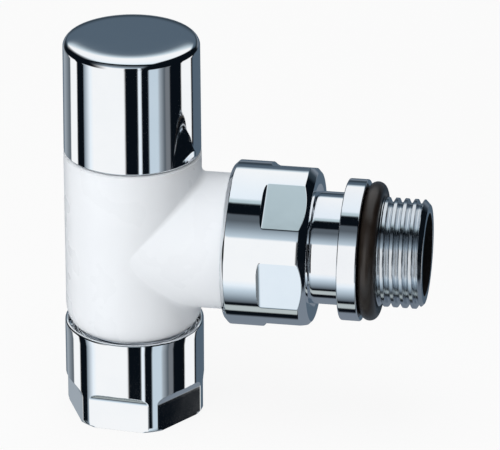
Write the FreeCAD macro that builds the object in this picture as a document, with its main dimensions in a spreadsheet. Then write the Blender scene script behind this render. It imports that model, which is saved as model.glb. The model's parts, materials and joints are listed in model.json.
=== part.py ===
"""Manual angle radiator valve: 15 mm compression inlet below, G1/2 union tail to the radiator.

The frame's origin is the pipe stop, the floor of the pipe socket on the valve's upright axis.
+Z points up to the handwheel and +X along the tail to the radiator.  Every piece is drawn about
the crossing of the upright axis and the tail's axis, and its Placement lifts it by axis_height.
"""
import FreeCAD
import Part
import Sketcher
import math
import os
import re

# Driving sizes in millimetres and degrees.
SIZES = {
    # Valve body
    "axis_height": 17.5,
    "body_dia": 26.4,
    "body_rise": 17.9,
    "body_edge": 0.4,
    "foot_drop": 4.5,
    "foot_land": 0.1,
    "foot_clear": 0.15,
    "neck_step": 0.2,
    "neck_blend": 1.3,
    "neck_reach": 28.0,
    "union_thread_run": 9.0,
    "thread_lead": 0.6,
    "pipe_dia": 15.0,
    "pipe_clear": 0.1,
    "socket_depth": 9.5,
    "socket_flare": 1.6,
    "inlet_dia": 11.0,
    "seat_drop": 7.35,
    "seat_land": 1.7,
    "seat_height": 1.25,
    "chamber_dia": 18.8,
    "chamber_rise": 8.4,
    "outlet_dia": 16.0,
    # Bonnet with its seal and gland nut
    "bonnet_thread_dia": 19.4,
    "thread_clear": 0.05,
    "bonnet_seal_wire": 1.0,
    "bonnet_seal_depth": 1.2,
    "seal_clear": 0.03,
    "flange_clear": 0.35,
    "flange_thick": 1.5,
    "bonnet_hex_step": 0.4,
    "bonnet_hex_height": 5.0,
    "bonnet_neck_dia": 13.2,
    "bonnet_neck_height": 3.1,
    "bonnet_ledge_gap": 0.1,
    "guide_dia": 16.0,
    "guide_rise": 4.0,
    "guide_clear": 0.05,
    "gland_clear": 0.15,
    "gland_depth": 6.5,
    "gland_hex": 11.0,
    "gland_head": 1.5,
    "upper_seal_drop": 3.7,
    # Stem with its seals, washer and clip
    "stem_dia": 6.0,
    "stem_clear": 0.05,
    "lower_seal_wire": 2.0,
    "upper_seal_wire": 1.5,
    "roof_drop": 1.3,
    "thrust_washer_thick": 0.5,
    "thrust_clear": 0.05,
    "collar_dia": 11.2,
    "collar_clear": 0.2,
    "collar_thick": 1.8,
    "stem_thread_dia": 7.9,
    "stem_tip_clear": 1.4,
    "stem_tip_chamfer": 0.6,
    "circlip_clear": 0.2,
    "circlip_thick": 0.7,
    "circlip_dia": 10.4,
    "circlip_groove": 0.6,
    "circlip_mouth": 4.4,
    "clip_clear": 0.03,
    "drive_square": 4.6,
    "drive_clear": 0.05,
    # Disc carrier, disc, plate and screw
    "lift": 3.75,
    "carrier_hex": 12.0,
    "carrier_clear": 0.3,
    "cup_wall": 0.95,
    "carrier_flange": 1.4,
    "cup_depth": 1.0,
    "lift_clear": 0.45,
    "disc_dia": 12.8,
    "disc_thick": 2.4,
    "disc_round": 0.25,
    "seat_gap": 0.05,
    "disc_plate_dia": 7.0,
    "disc_plate_thick": 0.6,
    "disc_screw_dia": 4.0,
    "disc_screw_reach": 2.8,
    "disc_head_dia": 5.6,
    "disc_head_height": 1.6,
    "screw_clear": 0.05,
    "key_depth": 1.0,
    # Handwheel cap, hub and screw
    "cap_gap": 0.3,
    "cap_dia": 26.3,
    "cap_draft": 0.15,
    "cap_wall": 1.45,
    "cap_height": 22.4,
    "cap_roof": 2.4,
    "crown_rise": 0.45,
    "cap_round": 1.0,
    "cap_mouth_round": 0.25,
    "press_clear": 0.05,
    "hub_gap": 0.3,
    "hub_boss_dia": 10.4,
    "hub_boss_roof": 1.7,
    "hub_plate": 2.0,
    "hub_plate_drop": 1.0,
    "hub_rim_wall": 1.2,
    "hub_rim_height": 9.0,
    "hub_rib": 1.4,
    "hub_rib_gap": 0.5,
    "hub_roof_gap": 0.1,
    "hub_screw_dia": 3.0,
    "hub_screw_reach": 5.0,
    "hub_head_dia": 5.6,
    "hub_head_height": 1.8,
    "hub_head_room": 0.3,
    # Union nut
    "union_nut_gap": 0.2,
    "union_nut_dia": 31.6,
    "union_nut_wall": 2.52,
    "union_nut_length": 16.4,
    "union_near_chamfer": 0.9,
    "union_far_chamfer": 1.5,
    "union_flat_depth": 0.8,
    "union_flats_run": 8.4,
    "union_flats_round": 0.8,
    "union_flat_turn": 36.8,
    "union_nut_clear": 0.06,
    "union_flare": 1.2,
    # Tailpiece with its rings
    "spigot_dia": 20.4,
    "spigot_clear": 0.05,
    "spigot_depth": 4.5,
    "spigot_end_gap": 0.2,
    "shoulder_gap": 0.1,
    "union_seal_wire": 1.5,
    "union_seal_place": 2.3,
    "tube_dia": 21.6,
    "tube_clear": 0.1,
    "ring_wire": 1.6,
    "ring_place": 2.65,
    "ring_clear": 0.1,
    "ring_mouth": 4.0,
    "collar_place": 41.25,
    "tail_collar_dia": 27.2,
    "tail_collar_width": 3.8,
    "tail_collar_edge": 0.25,
    "tail_neck_dia": 20.0,
    "radiator_seal_wire": 3.3,
    "radiator_thread_dia": 20.955,
    "radiator_thread_run": 8.6,
    "radiator_thread_lead": 1.0,
    "tail_entry_dia": 14.8,
    "tail_key": 12.5,
    "tail_key_place": 32.0,
    "tail_key_run": 8.0,
    "tail_bore_dia": 15.9,
    # Pipe nut and olive
    "pipe_nut_gap": 0.95,
    "pipe_nut_dia": 26.9,
    "pipe_nut_wall": 2.39,
    "pipe_nut_length": 17.85,
    "pipe_nut_edge": 0.4,
    "pipe_rim_height": 1.1,
    "pipe_rim_wall": 0.55,
    "pipe_dish_run": 0.95,
    "pipe_nut_bore_clear": 0.3,
    "pipe_nut_relief": 0.5,
    "pipe_flat_depth": 1.35,
    "pipe_flats_run": 5.8,
    "pipe_flats_round": 2.0,
    "pipe_flat_turn": 25.3,
    "pipe_nut_clear": 0.06,
    "olive_belt_dia": 18.8,
    "olive_belt": 2.8,
    "olive_wall": 0.4,
    "olive_clear": 0.2,
}

# Places and sizes that follow from the driving sizes, as heights over the tail's axis,
# distances along it, or radii.
PLACES = {
    "body_top": "body_rise",
    "neck_dia": "body_dia - neck_step",
    "body_foot": "-(neck_dia / 2 + foot_drop)",
    "foot_round_top": "-(neck_dia / 2 + neck_blend + foot_land)",
    "foot_round_rise": "foot_round_top - body_foot",
    "foot_r": "pipe_dish_r - foot_clear",
    "foot_inset": "body_dia / 2 - foot_r",
    "foot_round": "(foot_inset * foot_inset + foot_round_rise * foot_round_rise) / (2 * foot_inset)",
    "pipe_stop": "-axis_height",
    "stub_end": "pipe_stop - socket_depth",
    "socket_r": "pipe_dia / 2 + pipe_clear",
    "mouth_r": "socket_r + socket_flare",
    "seat_top": "-seat_drop",
    "seat_floor": "seat_top - seat_height",
    "seat_r": "inlet_dia / 2 + seat_land",
    "bonnet_thread_r": "bonnet_thread_dia / 2 - thread_clear",
    "bonnet_seal_floor": "body_top - bonnet_seal_depth",
    "bonnet_seal_r": "bonnet_thread_r + seal_clear + bonnet_seal_wire / 2",
    "bonnet_seal_pocket_r": "bonnet_seal_r + bonnet_seal_wire / 2 + seal_clear",
    "flange_dia": "2 * (cap_inner_r - flange_clear)",
    "flange_top": "body_top + flange_thick",
    "bonnet_hex": "flange_dia * sqrt(3) / 2 - bonnet_hex_step",
    "bonnet_hex_top": "flange_top + bonnet_hex_height",
    "bonnet_top": "bonnet_hex_top + bonnet_neck_height",
    "bonnet_ledge": "chamber_rise + bonnet_ledge_gap",
    "stem_r": "stem_dia / 2",
    "stem_bore_r": "stem_dia / 2 + stem_clear",
    "collar_roof": "body_top - roof_drop",
    "washer_floor": "collar_roof - thrust_washer_thick",
    "collar_top": "washer_floor - thrust_clear",
    "collar_floor": "collar_top - collar_thick",
    "collar_room_r": "collar_dia / 2 + collar_clear",
    "guide_top": "collar_floor - collar_clear",
    "gland_floor": "bonnet_top - gland_depth",
    "gland_bore_r": "stem_bore_r + lower_seal_wire + gland_clear",
    "gland_thread_r": "gland_bore_r - thread_clear",
    "gland_end": "gland_floor + lower_seal_wire + 2 * seal_clear",
    "gland_top": "bonnet_top + gland_head",
    "lower_seal_z": "gland_floor + seal_clear + lower_seal_wire / 2",
    "lower_seal_r": "stem_bore_r + lower_seal_wire / 2",
    "upper_seal_z": "gland_top - upper_seal_drop",
    "upper_seal_r": "stem_bore_r + upper_seal_wire / 2",
    "upper_groove_r": "stem_bore_r + upper_seal_wire + seal_clear",
    "upper_groove_half": "upper_seal_wire / 2 + seal_clear",
    "stem_tip": "disc_screw_tip + lift + stem_tip_clear",
    "circlip_floor": "gland_top + circlip_clear",
    "circlip_top": "circlip_floor + circlip_thick",
    "circlip_groove_r": "stem_r - circlip_groove",
    "drive_floor": "circlip_top + circlip_clear",
    "stem_top": "hub_socket_top - hub_gap",
    "disc_floor": "seat_top + seat_gap",
    "disc_top": "disc_floor + disc_thick",
    "carrier_floor": "disc_top - cup_depth",
    "carrier_shoulder": "disc_top + carrier_flange",
    "carrier_r": "disc_dia / 2 + screw_clear + cup_wall",
    "carrier_top": "guide_top - lift - carrier_clear",
    "carrier_bore_floor": "stem_tip - lift - lift_clear",
    "disc_screw_tip": "disc_top + disc_screw_reach",
    "disc_head_top": "disc_floor - disc_plate_thick",
    "disc_head_floor": "disc_head_top - disc_head_height",
    "cap_floor": "body_top + cap_gap",
    "cap_edge": "cap_floor + cap_height",
    "cap_ceiling": "cap_edge - cap_roof",
    "cap_inner_r": "cap_dia / 2 - cap_draft - cap_wall",
    "hub_floor": "circlip_top + hub_gap",
    "hub_top": "cap_ceiling - hub_head_room - hub_head_height",
    "hub_socket_top": "hub_top - hub_boss_roof",
    "hub_plate_top": "hub_top - hub_plate_drop",
    "hub_plate_floor": "hub_plate_top - hub_plate",
    "hub_rim_r": "cap_inner_r - press_clear",
    "hub_rim_top": "cap_ceiling - hub_roof_gap",
    "hub_screw_tip": "stem_top - hub_screw_reach",
    "union_thread_dia": "union_nut_dia - 2 * (union_nut_wall + union_nut_clear)",
    "union_flats": "union_nut_dia - 2 * union_flat_depth",
    "union_start": "neck_reach - union_thread_run + union_nut_gap",
    "union_end": "union_start + union_nut_length",
    "union_flats_start": "union_end - union_flats_run",
    "tail_start": "neck_reach - spigot_depth + spigot_end_gap",
    "tail_shoulder": "neck_reach + shoulder_gap",
    "union_seal_x": "tail_start + union_seal_place",
    "union_seal_r": "spigot_dia / 2 - union_seal_wire / 2",
    "ring_x": "tail_shoulder + ring_place",
    "union_lip": "ring_x + ring_wire / 2 + ring_clear",
    "union_lip_r": "tube_dia / 2 + tube_clear",
    "collar_end": "collar_place + tail_collar_width",
    "radiator_seal_x": "collar_end + seal_clear + radiator_seal_wire / 2",
    "radiator_seal_r": "tail_neck_dia / 2 + seal_clear + radiator_seal_wire / 2",
    "radiator_thread_start": "collar_end + radiator_seal_wire + 2 * seal_clear",
    "tail_end": "radiator_thread_start + radiator_thread_run",
    "key_end": "tail_key_place + tail_key_run",
    "stub_dia": "pipe_nut_dia - 2 * (pipe_nut_wall + pipe_nut_clear)",
    "pipe_flats": "pipe_nut_dia - 2 * pipe_flat_depth",
    "pipe_nut_top": "body_foot - pipe_nut_gap",
    "pipe_rim_top": "pipe_nut_top + pipe_rim_height",
    "pipe_rim_r": "pipe_nut_dia / 2 - pipe_rim_wall",
    "pipe_dish_r": "pipe_rim_r - pipe_dish_run",
    "pipe_nut_floor": "pipe_nut_top - pipe_nut_length",
    "olive_r": "olive_belt_dia / 2",
    "olive_belt_top": "stub_end - (olive_r - mouth_r) - olive_clear",
    "olive_belt_floor": "olive_belt_top - olive_belt",
    "olive_end_r": "socket_r + olive_wall",
    "pipe_thread_floor": "olive_belt_top - olive_clear",
    "pipe_bore_r": "pipe_dia / 2 + pipe_nut_bore_clear",
    "pipe_cone_r": "olive_r + pipe_nut_relief",
    "pipe_cone_top": "olive_belt_floor + pipe_nut_relief - olive_clear",
    "pipe_bore_top": "pipe_cone_top - (pipe_cone_r - pipe_bore_r)",
}

HEX_SIDES = 6
HUB_RIBS = 6
PLAIN_TURN = 360.0
NEAR = 1e-4
WORD = re.compile(r"[a-z][a-z_0-9]*")

doc = FreeCAD.newDocument("radiator_valve")


def make_sheet():
    """Write the driving sizes into the sheet, each cell with its alias."""
    sheet = doc.addObject("Spreadsheet::Sheet", "dims")
    for row, (name, size) in enumerate(SIZES.items(), start=1):
        sheet.set("A%d" % row, name)
        sheet.set("B%d" % row, str(size))
        sheet.setAlias("B%d" % row, name)
    doc.recompute()
    return sheet


sheet = make_sheet()


def bound(text):
    """Turn a size written in words into an expression on the sheet's cells."""

    def swap(match):
        word = match.group(0)
        if word == "sqrt":
            return word
        if word in PLACES:
            return "(%s)" % bound(PLACES[word])
        return "dims." + word

    return WORD.sub(swap, text)


def value(text):
    """The number that a size written in words has now."""
    return float(sheet.evalExpression(bound(text)))


def new_body(label):
    """A body on the tail's axis height, named for the piece."""
    body = doc.addObject("PartDesign::Body", label)
    body.Label = label
    body.setExpression("Placement.Base.z", bound("axis_height"))
    return body


def turn_about(body, axis, angle):
    """Turn a finished piece about one of its axes."""
    body.Placement = FreeCAD.Placement(body.Placement.Base, FreeCAD.Rotation(axis, value(angle)))
    body.setExpression("Placement.Rotation.Angle", bound(angle))


def origin_feature(body, role):
    """The plane or axis of a body's own origin with the given role."""
    for feature in body.Origin.OriginFeatures:
        if feature.Role == role:
            return feature
    raise ValueError(role)


def new_sketch(body, name, role="XZ_Plane", height="0"):
    """A sketch on one of the body's origin planes, lifted along the plane's normal."""
    sketch = body.newObject("Sketcher::SketchObject", name)
    sketch.AttachmentSupport = (origin_feature(body, role), "")
    sketch.MapMode = "FlatFace"
    sketch.setExpression("AttachmentOffset.Base.z", bound(height))
    return sketch


def fix_point(sketch, curve, point, across, up):
    """Hold one point of a curve at its place from the sketch's origin."""
    for kind, text in (("DistanceX", across), ("DistanceY", up)):
        row = sketch.addConstraint(Sketcher.Constraint(kind, -1, 1, curve, point, value(text)))
        sketch.setExpression("Constraints[%d]" % row, bound(text))


def arc_between(start, end, centre_across):
    """The short arc between two points whose centre lies at a given distance across."""
    near = start.x - centre_across
    far = end.x - centre_across
    up = (end.y ** 2 - start.y ** 2 + far ** 2 - near ** 2) / (2 * (end.y - start.y))
    centre = FreeCAD.Vector(centre_across, up, 0)
    first = math.atan2(start.y - up, near)
    last = math.atan2(end.y - up, far)
    runs_forward = (last - first) % (2 * math.pi) < math.pi
    if not runs_forward:
        first, last = last, first
    circle = Part.Circle(centre, FreeCAD.Vector(0, 0, 1), math.hypot(near, start.y - up))
    return Part.ArcOfCircle(circle, first, last), runs_forward


def draw_outline(sketch, corners, arcs=None):
    """Close a loop through the corners.

    arcs gives, for the run that leaves a corner, the distance across of that arc's centre.
    """
    arcs = arcs or {}
    spots = [FreeCAD.Vector(value(across), value(up), 0) for across, up in corners]
    ends = []
    for index, start in enumerate(spots):
        end = spots[(index + 1) % len(spots)]
        if index in arcs:
            arc, runs_forward = arc_between(start, end, value(arcs[index]))
            curve = sketch.addGeometry(arc)
            ends.append((curve, 1, 2) if runs_forward else (curve, 2, 1))
        else:
            ends.append((sketch.addGeometry(Part.LineSegment(start, end)), 1, 2))
    for index, (curve, first, last) in enumerate(ends):
        after = ends[(index + 1) % len(ends)]
        sketch.addConstraint(Sketcher.Constraint("Coincident", curve, last, after[0], after[1]))
        fix_point(sketch, curve, first, *corners[index])
    for index, across in arcs.items():
        curve = ends[index][0]
        row = sketch.addConstraint(
            Sketcher.Constraint("DistanceX", -1, 1, curve, 3, value(across)))
        sketch.setExpression("Constraints[%d]" % row, bound(across))


def draw_circle(sketch, across, up, radius):
    """A circle held by its centre and radius."""
    centre = FreeCAD.Vector(value(across), value(up), 0)
    curve = sketch.addGeometry(Part.Circle(centre, FreeCAD.Vector(0, 0, 1), value(radius)))
    fix_point(sketch, curve, 3, across, up)
    row = sketch.addConstraint(Sketcher.Constraint("Radius", curve, value(radius)))
    sketch.setExpression("Constraints[%d]" % row, bound(radius))


def draw_hexagon(sketch, flats):
    """A hexagon about the origin with two flats across the sketch's second axis."""
    corner = "(%s) / sqrt(3)" % flats
    half = "(%s) / 2" % flats
    draw_outline(sketch, [
        (corner, "0"),
        (corner + " / 2", half),
        ("-" + corner + " / 2", half),
        ("-" + corner, "0"),
        ("-" + corner + " / 2", "-" + half),
        (corner + " / 2", "-" + half),
    ])


def draw_square(sketch, side):
    """A square about the origin."""
    half = "(%s) / 2" % side
    draw_outline(sketch, [
        (half, half),
        ("-" + half, half),
        ("-" + half, "-" + half),
        (half, "-" + half),
    ])


def turn_sketch(body, kind, sketch, axis, angle=PLAIN_TURN):
    """A revolved feature, added or cut, of a sketch about one of its own axes."""
    feature = body.newObject("PartDesign::" + kind, sketch.Name + "_turned")
    feature.Profile = sketch
    feature.ReferenceAxis = (sketch, [axis])
    feature.Angle = angle
    doc.recompute()
    return feature


def turned(body, name, corners, axis="V_Axis", arcs=None):
    """A solid turned from a section outline."""
    sketch = new_sketch(body, name)
    draw_outline(sketch, corners, arcs)
    return turn_sketch(body, "Revolution", sketch, axis)


def bored(body, name, corners, axis="V_Axis"):
    """A turned cut from a section outline."""
    sketch = new_sketch(body, name)
    draw_outline(sketch, corners)
    return turn_sketch(body, "Groove", sketch, axis)


def raised(body, sketch, length):
    """A pad of a sketch along its plane's normal."""
    feature = body.newObject("PartDesign::Pad", sketch.Name + "_pad")
    feature.Profile = sketch
    feature.setExpression("Length", bound(length))
    doc.recompute()
    return feature


def sunk(body, sketch, length):
    """A pocket of a sketch along its plane's normal, checked to have cut something."""
    before = body.Shape.Volume
    feature = body.newObject("PartDesign::Pocket", sketch.Name + "_pocket")
    feature.Profile = sketch
    feature.Reversed = True
    feature.setExpression("Length", bound(length))
    doc.recompute()
    if body.Shape.Volume >= before:
        raise RuntimeError("%s cut nothing" % feature.Name)
    return feature


def ring_edges(shape, rings, axis):
    """Names of the circular edges with a given radius and place along an axis."""
    wanted = [(value(radius), value(place)) for radius, place in rings]
    names = []
    for number, edge in enumerate(shape.Edges, start=1):
        if edge.Degenerated or not isinstance(edge.Curve, Part.Circle):
            continue
        place = edge.Curve.Center.dot(axis)
        for radius, along in wanted:
            if abs(edge.Curve.Radius - radius) < NEAR and abs(place - along) < NEAR:
                names.append("Edge%d" % number)
    if len(names) < len(rings):
        raise RuntimeError("an edge to finish is missing")
    return names


def finish_edges(body, kind, base, names, size):
    """A fillet or chamfer on named edges of a feature."""
    feature = body.newObject("PartDesign::" + kind, "%s_%s" % (base.Name, kind.lower()))
    feature.Base = (base, names)
    feature.setExpression("Radius" if kind == "Fillet" else "Size", bound(size))
    doc.recompute()
    return feature


def milled_flats(body, name, flats, nut_r, start, end, corner, along_x):
    """Six flats milled from one end of a round nut, each run out on the cutter's corner round."""
    flat = "%s / 2" % flats
    toward = "+" if value(start) > value(end) else "-"
    runout = "%s %s %s" % (start, toward, corner)
    past = "%s %s %s" % (end, "-" if toward == "+" else "+", corner)
    reach = "%s + %s" % (nut_r, corner)
    section = [
        (flat, past),
        (flat, start),
        ("%s + %s" % (flat, corner), runout),
        (reach, runout),
        (reach, past),
    ]
    sketch = new_sketch(body, name)
    if along_x:
        draw_outline(sketch, [(along, out) for out, along in section], {1: start})
    else:
        draw_outline(sketch, section, {1: "%s + %s" % (flat, corner)})
    pocket = body.newObject("PartDesign::Pocket", name + "_pocket")
    pocket.Profile = sketch
    pocket.Type = "ThroughAll"
    pocket.SideType = "Symmetric"
    pattern = body.newObject("PartDesign::PolarPattern", name + "_pattern")
    pattern.Originals = [pocket]
    pattern.Axis = (origin_feature(body, "X_Axis" if along_x else "Z_Axis"), [""])
    pattern.Angle = PLAIN_TURN
    pattern.Occurrences = HEX_SIDES
    body.Tip = pattern
    doc.recompute()


X_AXIS = FreeCAD.Vector(1, 0, 0)
Z_AXIS = FreeCAD.Vector(0, 0, 1)


def o_ring(label, radius, wire, place, along_x=False):
    """A round-section seal ring at rest in its groove."""
    body = new_body(label)
    sketch = new_sketch(body, label + "_section")
    if along_x:
        draw_circle(sketch, place, radius, wire + " / 2")
    else:
        draw_circle(sketch, radius, place, wire + " / 2")
    turn_sketch(body, "Revolution", sketch, "H_Axis" if along_x else "V_Axis")


def valve_body():
    """Angle body: barrel, threaded foot and branch, with seat, chamber and bores."""
    body = new_body("valve_body")
    turned(body, "barrel", [
        ("0", "stub_end"),
        ("stub_dia / 2 - thread_lead", "stub_end"),
        ("stub_dia / 2", "stub_end + thread_lead"),
        ("stub_dia / 2", "body_foot"),
        ("foot_r", "body_foot"),
        ("body_dia / 2", "foot_round_top"),
        ("body_dia / 2", "body_top - body_edge"),
        ("body_dia / 2 - body_edge", "body_top"),
        ("0", "body_top"),
    ], arcs={4: "body_dia / 2 - foot_round"})
    branch = turned(body, "branch", [
        ("0", "0"),
        ("0", "neck_dia / 2"),
        ("neck_reach - union_thread_run", "neck_dia / 2"),
        ("neck_reach - union_thread_run", "union_thread_dia / 2"),
        ("neck_reach - thread_lead", "union_thread_dia / 2"),
        ("neck_reach", "union_thread_dia / 2 - thread_lead"),
        ("neck_reach", "0"),
    ], "H_Axis")
    seam = []
    for number, edge in enumerate(branch.Shape.Edges, start=1):
        box = edge.BoundBox
        inside = box.XMin > NEAR and box.XMax < value("body_dia / 2") + NEAR
        if inside and box.ZMax < value("neck_dia / 2") + NEAR and box.ZMin > value("body_foot"):
            seam.append("Edge%d" % number)
    finish_edges(body, "Fillet", branch, seam, "neck_blend")
    bored(body, "upright_bore", [
        ("0", "stub_end"),
        ("mouth_r", "stub_end"),
        ("socket_r", "stub_end + socket_flare"),
        ("socket_r", "pipe_stop"),
        ("inlet_dia / 2", "pipe_stop"),
        ("inlet_dia / 2", "seat_top"),
        ("seat_r", "seat_top"),
        ("seat_r", "seat_floor"),
        ("chamber_dia / 2", "seat_floor"),
        ("chamber_dia / 2", "chamber_rise"),
        ("bonnet_thread_dia / 2", "chamber_rise"),
        ("bonnet_thread_dia / 2", "bonnet_seal_floor"),
        ("bonnet_seal_pocket_r", "bonnet_seal_floor"),
        ("bonnet_seal_pocket_r", "body_top"),
        ("0", "body_top"),
    ])
    bored(body, "outlet_bore", [
        ("seat_r", "0"),
        ("seat_r", "outlet_dia / 2 - seat_land"),
        ("chamber_dia / 2", "outlet_dia / 2"),
        ("neck_reach - spigot_depth", "outlet_dia / 2"),
        ("neck_reach - spigot_depth", "spigot_dia / 2 + spigot_clear"),
        ("neck_reach", "spigot_dia / 2 + spigot_clear"),
        ("neck_reach", "0"),
    ], "H_Axis")


def bonnet():
    """Headwork: threaded shank with a hexagon guide below and the gland's bore above."""
    body = new_body("bonnet")
    turned(body, "bonnet_shank", [
        ("0", "guide_rise"),
        ("guide_dia / 2", "guide_rise"),
        ("guide_dia / 2", "bonnet_ledge"),
        ("bonnet_thread_r - thread_lead", "bonnet_ledge"),
        ("bonnet_thread_r", "bonnet_ledge + thread_lead"),
        ("bonnet_thread_r", "body_top"),
        ("flange_dia / 2", "body_top"),
        ("flange_dia / 2", "flange_top"),
        ("bonnet_neck_dia / 2", "flange_top"),
        ("bonnet_neck_dia / 2", "bonnet_top"),
        ("0", "bonnet_top"),
    ])
    spanner = new_sketch(body, "bonnet_spanner", "XY_Plane", "flange_top")
    draw_hexagon(spanner, "bonnet_hex")
    raised(body, spanner, "bonnet_hex_height")
    guide = new_sketch(body, "carrier_guide", "XY_Plane", "guide_rise")
    draw_hexagon(guide, "carrier_hex + 2 * guide_clear")
    sunk(body, guide, "guide_top - guide_rise")
    bored(body, "bonnet_bore", [
        ("0", "guide_top"),
        ("collar_room_r", "guide_top"),
        ("collar_room_r", "collar_roof"),
        ("stem_bore_r", "collar_roof"),
        ("stem_bore_r", "gland_floor"),
        ("gland_bore_r", "gland_floor"),
        ("gland_bore_r", "bonnet_top"),
        ("0", "bonnet_top"),
    ])


def gland_nut():
    """Nut over the lower stem seal, with the upper seal in a groove of its bore."""
    body = new_body("gland_nut")
    turned(body, "gland_shank", [
        ("stem_bore_r", "gland_end"),
        ("gland_thread_r", "gland_end"),
        ("gland_thread_r", "bonnet_top"),
        ("stem_bore_r", "bonnet_top"),
    ])
    head = new_sketch(body, "gland_spanner", "XY_Plane", "bonnet_top")
    draw_hexagon(head, "gland_hex")
    draw_circle(head, "0", "0", "stem_bore_r")
    raised(body, head, "gland_head")
    bored(body, "upper_seal_groove", [
        ("0", "upper_seal_z - upper_groove_half"),
        ("upper_groove_r", "upper_seal_z - upper_groove_half"),
        ("upper_groove_r", "upper_seal_z + upper_groove_half"),
        ("0", "upper_seal_z + upper_groove_half"),
    ])


def stem():
    """Turning stem: lifting screw, thrust collar, sealed shaft and square drive."""
    body = new_body("stem")
    turned(body, "stem_blank", [
        ("0", "stem_tip"),
        ("stem_thread_dia / 2 - stem_tip_chamfer", "stem_tip"),
        ("stem_thread_dia / 2", "stem_tip + stem_tip_chamfer"),
        ("stem_thread_dia / 2", "collar_floor"),
        ("collar_dia / 2", "collar_floor"),
        ("collar_dia / 2", "collar_top"),
        ("stem_r", "collar_top"),
        ("stem_r", "circlip_floor - clip_clear"),
        ("circlip_groove_r", "circlip_floor - clip_clear"),
        ("circlip_groove_r", "circlip_top + clip_clear"),
        ("stem_r", "circlip_top + clip_clear"),
        ("stem_r", "stem_top"),
        ("0", "stem_top"),
    ])
    square = new_sketch(body, "drive_square_cut", "XY_Plane", "drive_floor")
    draw_square(square, "drive_square")
    draw_circle(square, "0", "0", "stem_dia")
    sunk(body, square, "stem_top - drive_floor")
    bored(body, "stem_tapping", [
        ("0", "hub_screw_tip - hub_gap"),
        ("hub_screw_dia / 2 + screw_clear", "hub_screw_tip - hub_gap"),
        ("hub_screw_dia / 2 + screw_clear", "stem_top"),
        ("0", "stem_top"),
    ])


def thrust_washer():
    """Low-friction washer between the stem's collar and the bonnet."""
    body = new_body("thrust_washer")
    turned(body, "thrust_washer_section", [
        ("stem_bore_r", "washer_floor"),
        ("collar_dia / 2", "washer_floor"),
        ("collar_dia / 2", "collar_roof"),
        ("stem_bore_r", "collar_roof"),
    ])


def stem_circlip():
    """Open clip in the stem's groove over the gland nut."""
    body = new_body("stem_circlip")
    turned(body, "circlip_section", [
        ("circlip_groove_r + clip_clear", "circlip_floor"),
        ("circlip_dia / 2", "circlip_floor"),
        ("circlip_dia / 2", "circlip_top"),
        ("circlip_groove_r + clip_clear", "circlip_top"),
    ])
    mouth = new_sketch(body, "circlip_mouth_cut", "XY_Plane", "circlip_floor")
    draw_outline(mouth, [
        ("0", "circlip_mouth / 2"),
        ("0", "-circlip_mouth / 2"),
        ("circlip_dia", "-circlip_mouth / 2"),
        ("circlip_dia", "circlip_mouth / 2"),
    ])
    sunk(body, mouth, "circlip_thick")


def disc_carrier():
    """Hexagon nut on the stem's screw, with a cup for the disc."""
    body = new_body("disc_carrier")
    turned(body, "carrier_cup", [
        ("0", "disc_top"),
        ("disc_dia / 2 + screw_clear", "disc_top"),
        ("disc_dia / 2 + screw_clear", "carrier_floor"),
        ("carrier_r", "carrier_floor"),
        ("carrier_r", "carrier_shoulder"),
        ("0", "carrier_shoulder"),
    ])
    nut = new_sketch(body, "carrier_nut", "XY_Plane", "carrier_shoulder")
    draw_hexagon(nut, "carrier_hex")
    raised(body, nut, "carrier_top - carrier_shoulder")
    bored(body, "carrier_screw_bore", [
        ("0", "carrier_bore_floor"),
        ("stem_thread_dia / 2 + thread_clear", "carrier_bore_floor"),
        ("stem_thread_dia / 2 + thread_clear", "carrier_top"),
        ("0", "carrier_top"),
    ])
    bored(body, "carrier_tapping", [
        ("0", "disc_top"),
        ("disc_screw_dia / 2 + screw_clear", "disc_top"),
        ("disc_screw_dia / 2 + screw_clear", "disc_screw_tip + screw_clear"),
        ("0", "disc_screw_tip + screw_clear"),
    ])


def valve_disc():
    """Rubber disc that closes on the seat."""
    body = new_body("valve_disc")
    disc = turned(body, "disc_section", [
        ("disc_screw_dia / 2 + screw_clear", "disc_floor"),
        ("disc_dia / 2", "disc_floor"),
        ("disc_dia / 2", "disc_top"),
        ("disc_screw_dia / 2 + screw_clear", "disc_top"),
    ])
    rim = ring_edges(disc.Shape, [("disc_dia / 2", "disc_floor")], Z_AXIS)
    finish_edges(body, "Fillet", disc, rim, "disc_round")


def disc_plate():
    """Washer under the disc's screw."""
    body = new_body("disc_plate")
    turned(body, "disc_plate_section", [
        ("disc_screw_dia / 2 + screw_clear", "disc_head_top"),
        ("disc_plate_dia / 2", "disc_head_top"),
        ("disc_plate_dia / 2", "disc_floor"),
        ("disc_screw_dia / 2 + screw_clear", "disc_floor"),
    ])


def key_screw(label, shank, tip, seat, end, head, key):
    """Cheese-head screw with a hexagon key socket; tip and end are heights, either way up."""
    body = new_body(label)
    turned(body, label + "_section", [
        ("0", tip),
        (shank + " / 2", tip),
        (shank + " / 2", seat),
        (head + " / 2", seat),
        (head + " / 2", end),
        ("0", end),
    ])
    points_up = value(end) < value(tip)
    socket = new_sketch(body, label + "_key", "XY_Plane", end if points_up else end + " - key_depth")
    draw_hexagon(socket, key)
    sunk(body, socket, "key_depth")


def handwheel_cap():
    """Turned cap with a slight draft and a crowned top."""
    body = new_body("handwheel_cap")
    shell = turned(body, "cap_section", [
        ("cap_inner_r", "cap_floor"),
        ("cap_dia / 2", "cap_floor"),
        ("cap_dia / 2 - cap_draft", "cap_edge"),
        ("0", "cap_edge + crown_rise"),
        ("0", "cap_ceiling"),
        ("cap_inner_r", "cap_ceiling"),
    ], arcs={2: "0"})
    rim = ring_edges(shell.Shape, [("cap_dia / 2 - cap_draft", "cap_edge")], Z_AXIS)
    rounded = finish_edges(body, "Fillet", shell, rim, "cap_round")
    mouth = ring_edges(rounded.Shape, [("cap_dia / 2", "cap_floor")], Z_AXIS)
    finish_edges(body, "Fillet", rounded, mouth, "cap_mouth_round")


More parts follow.
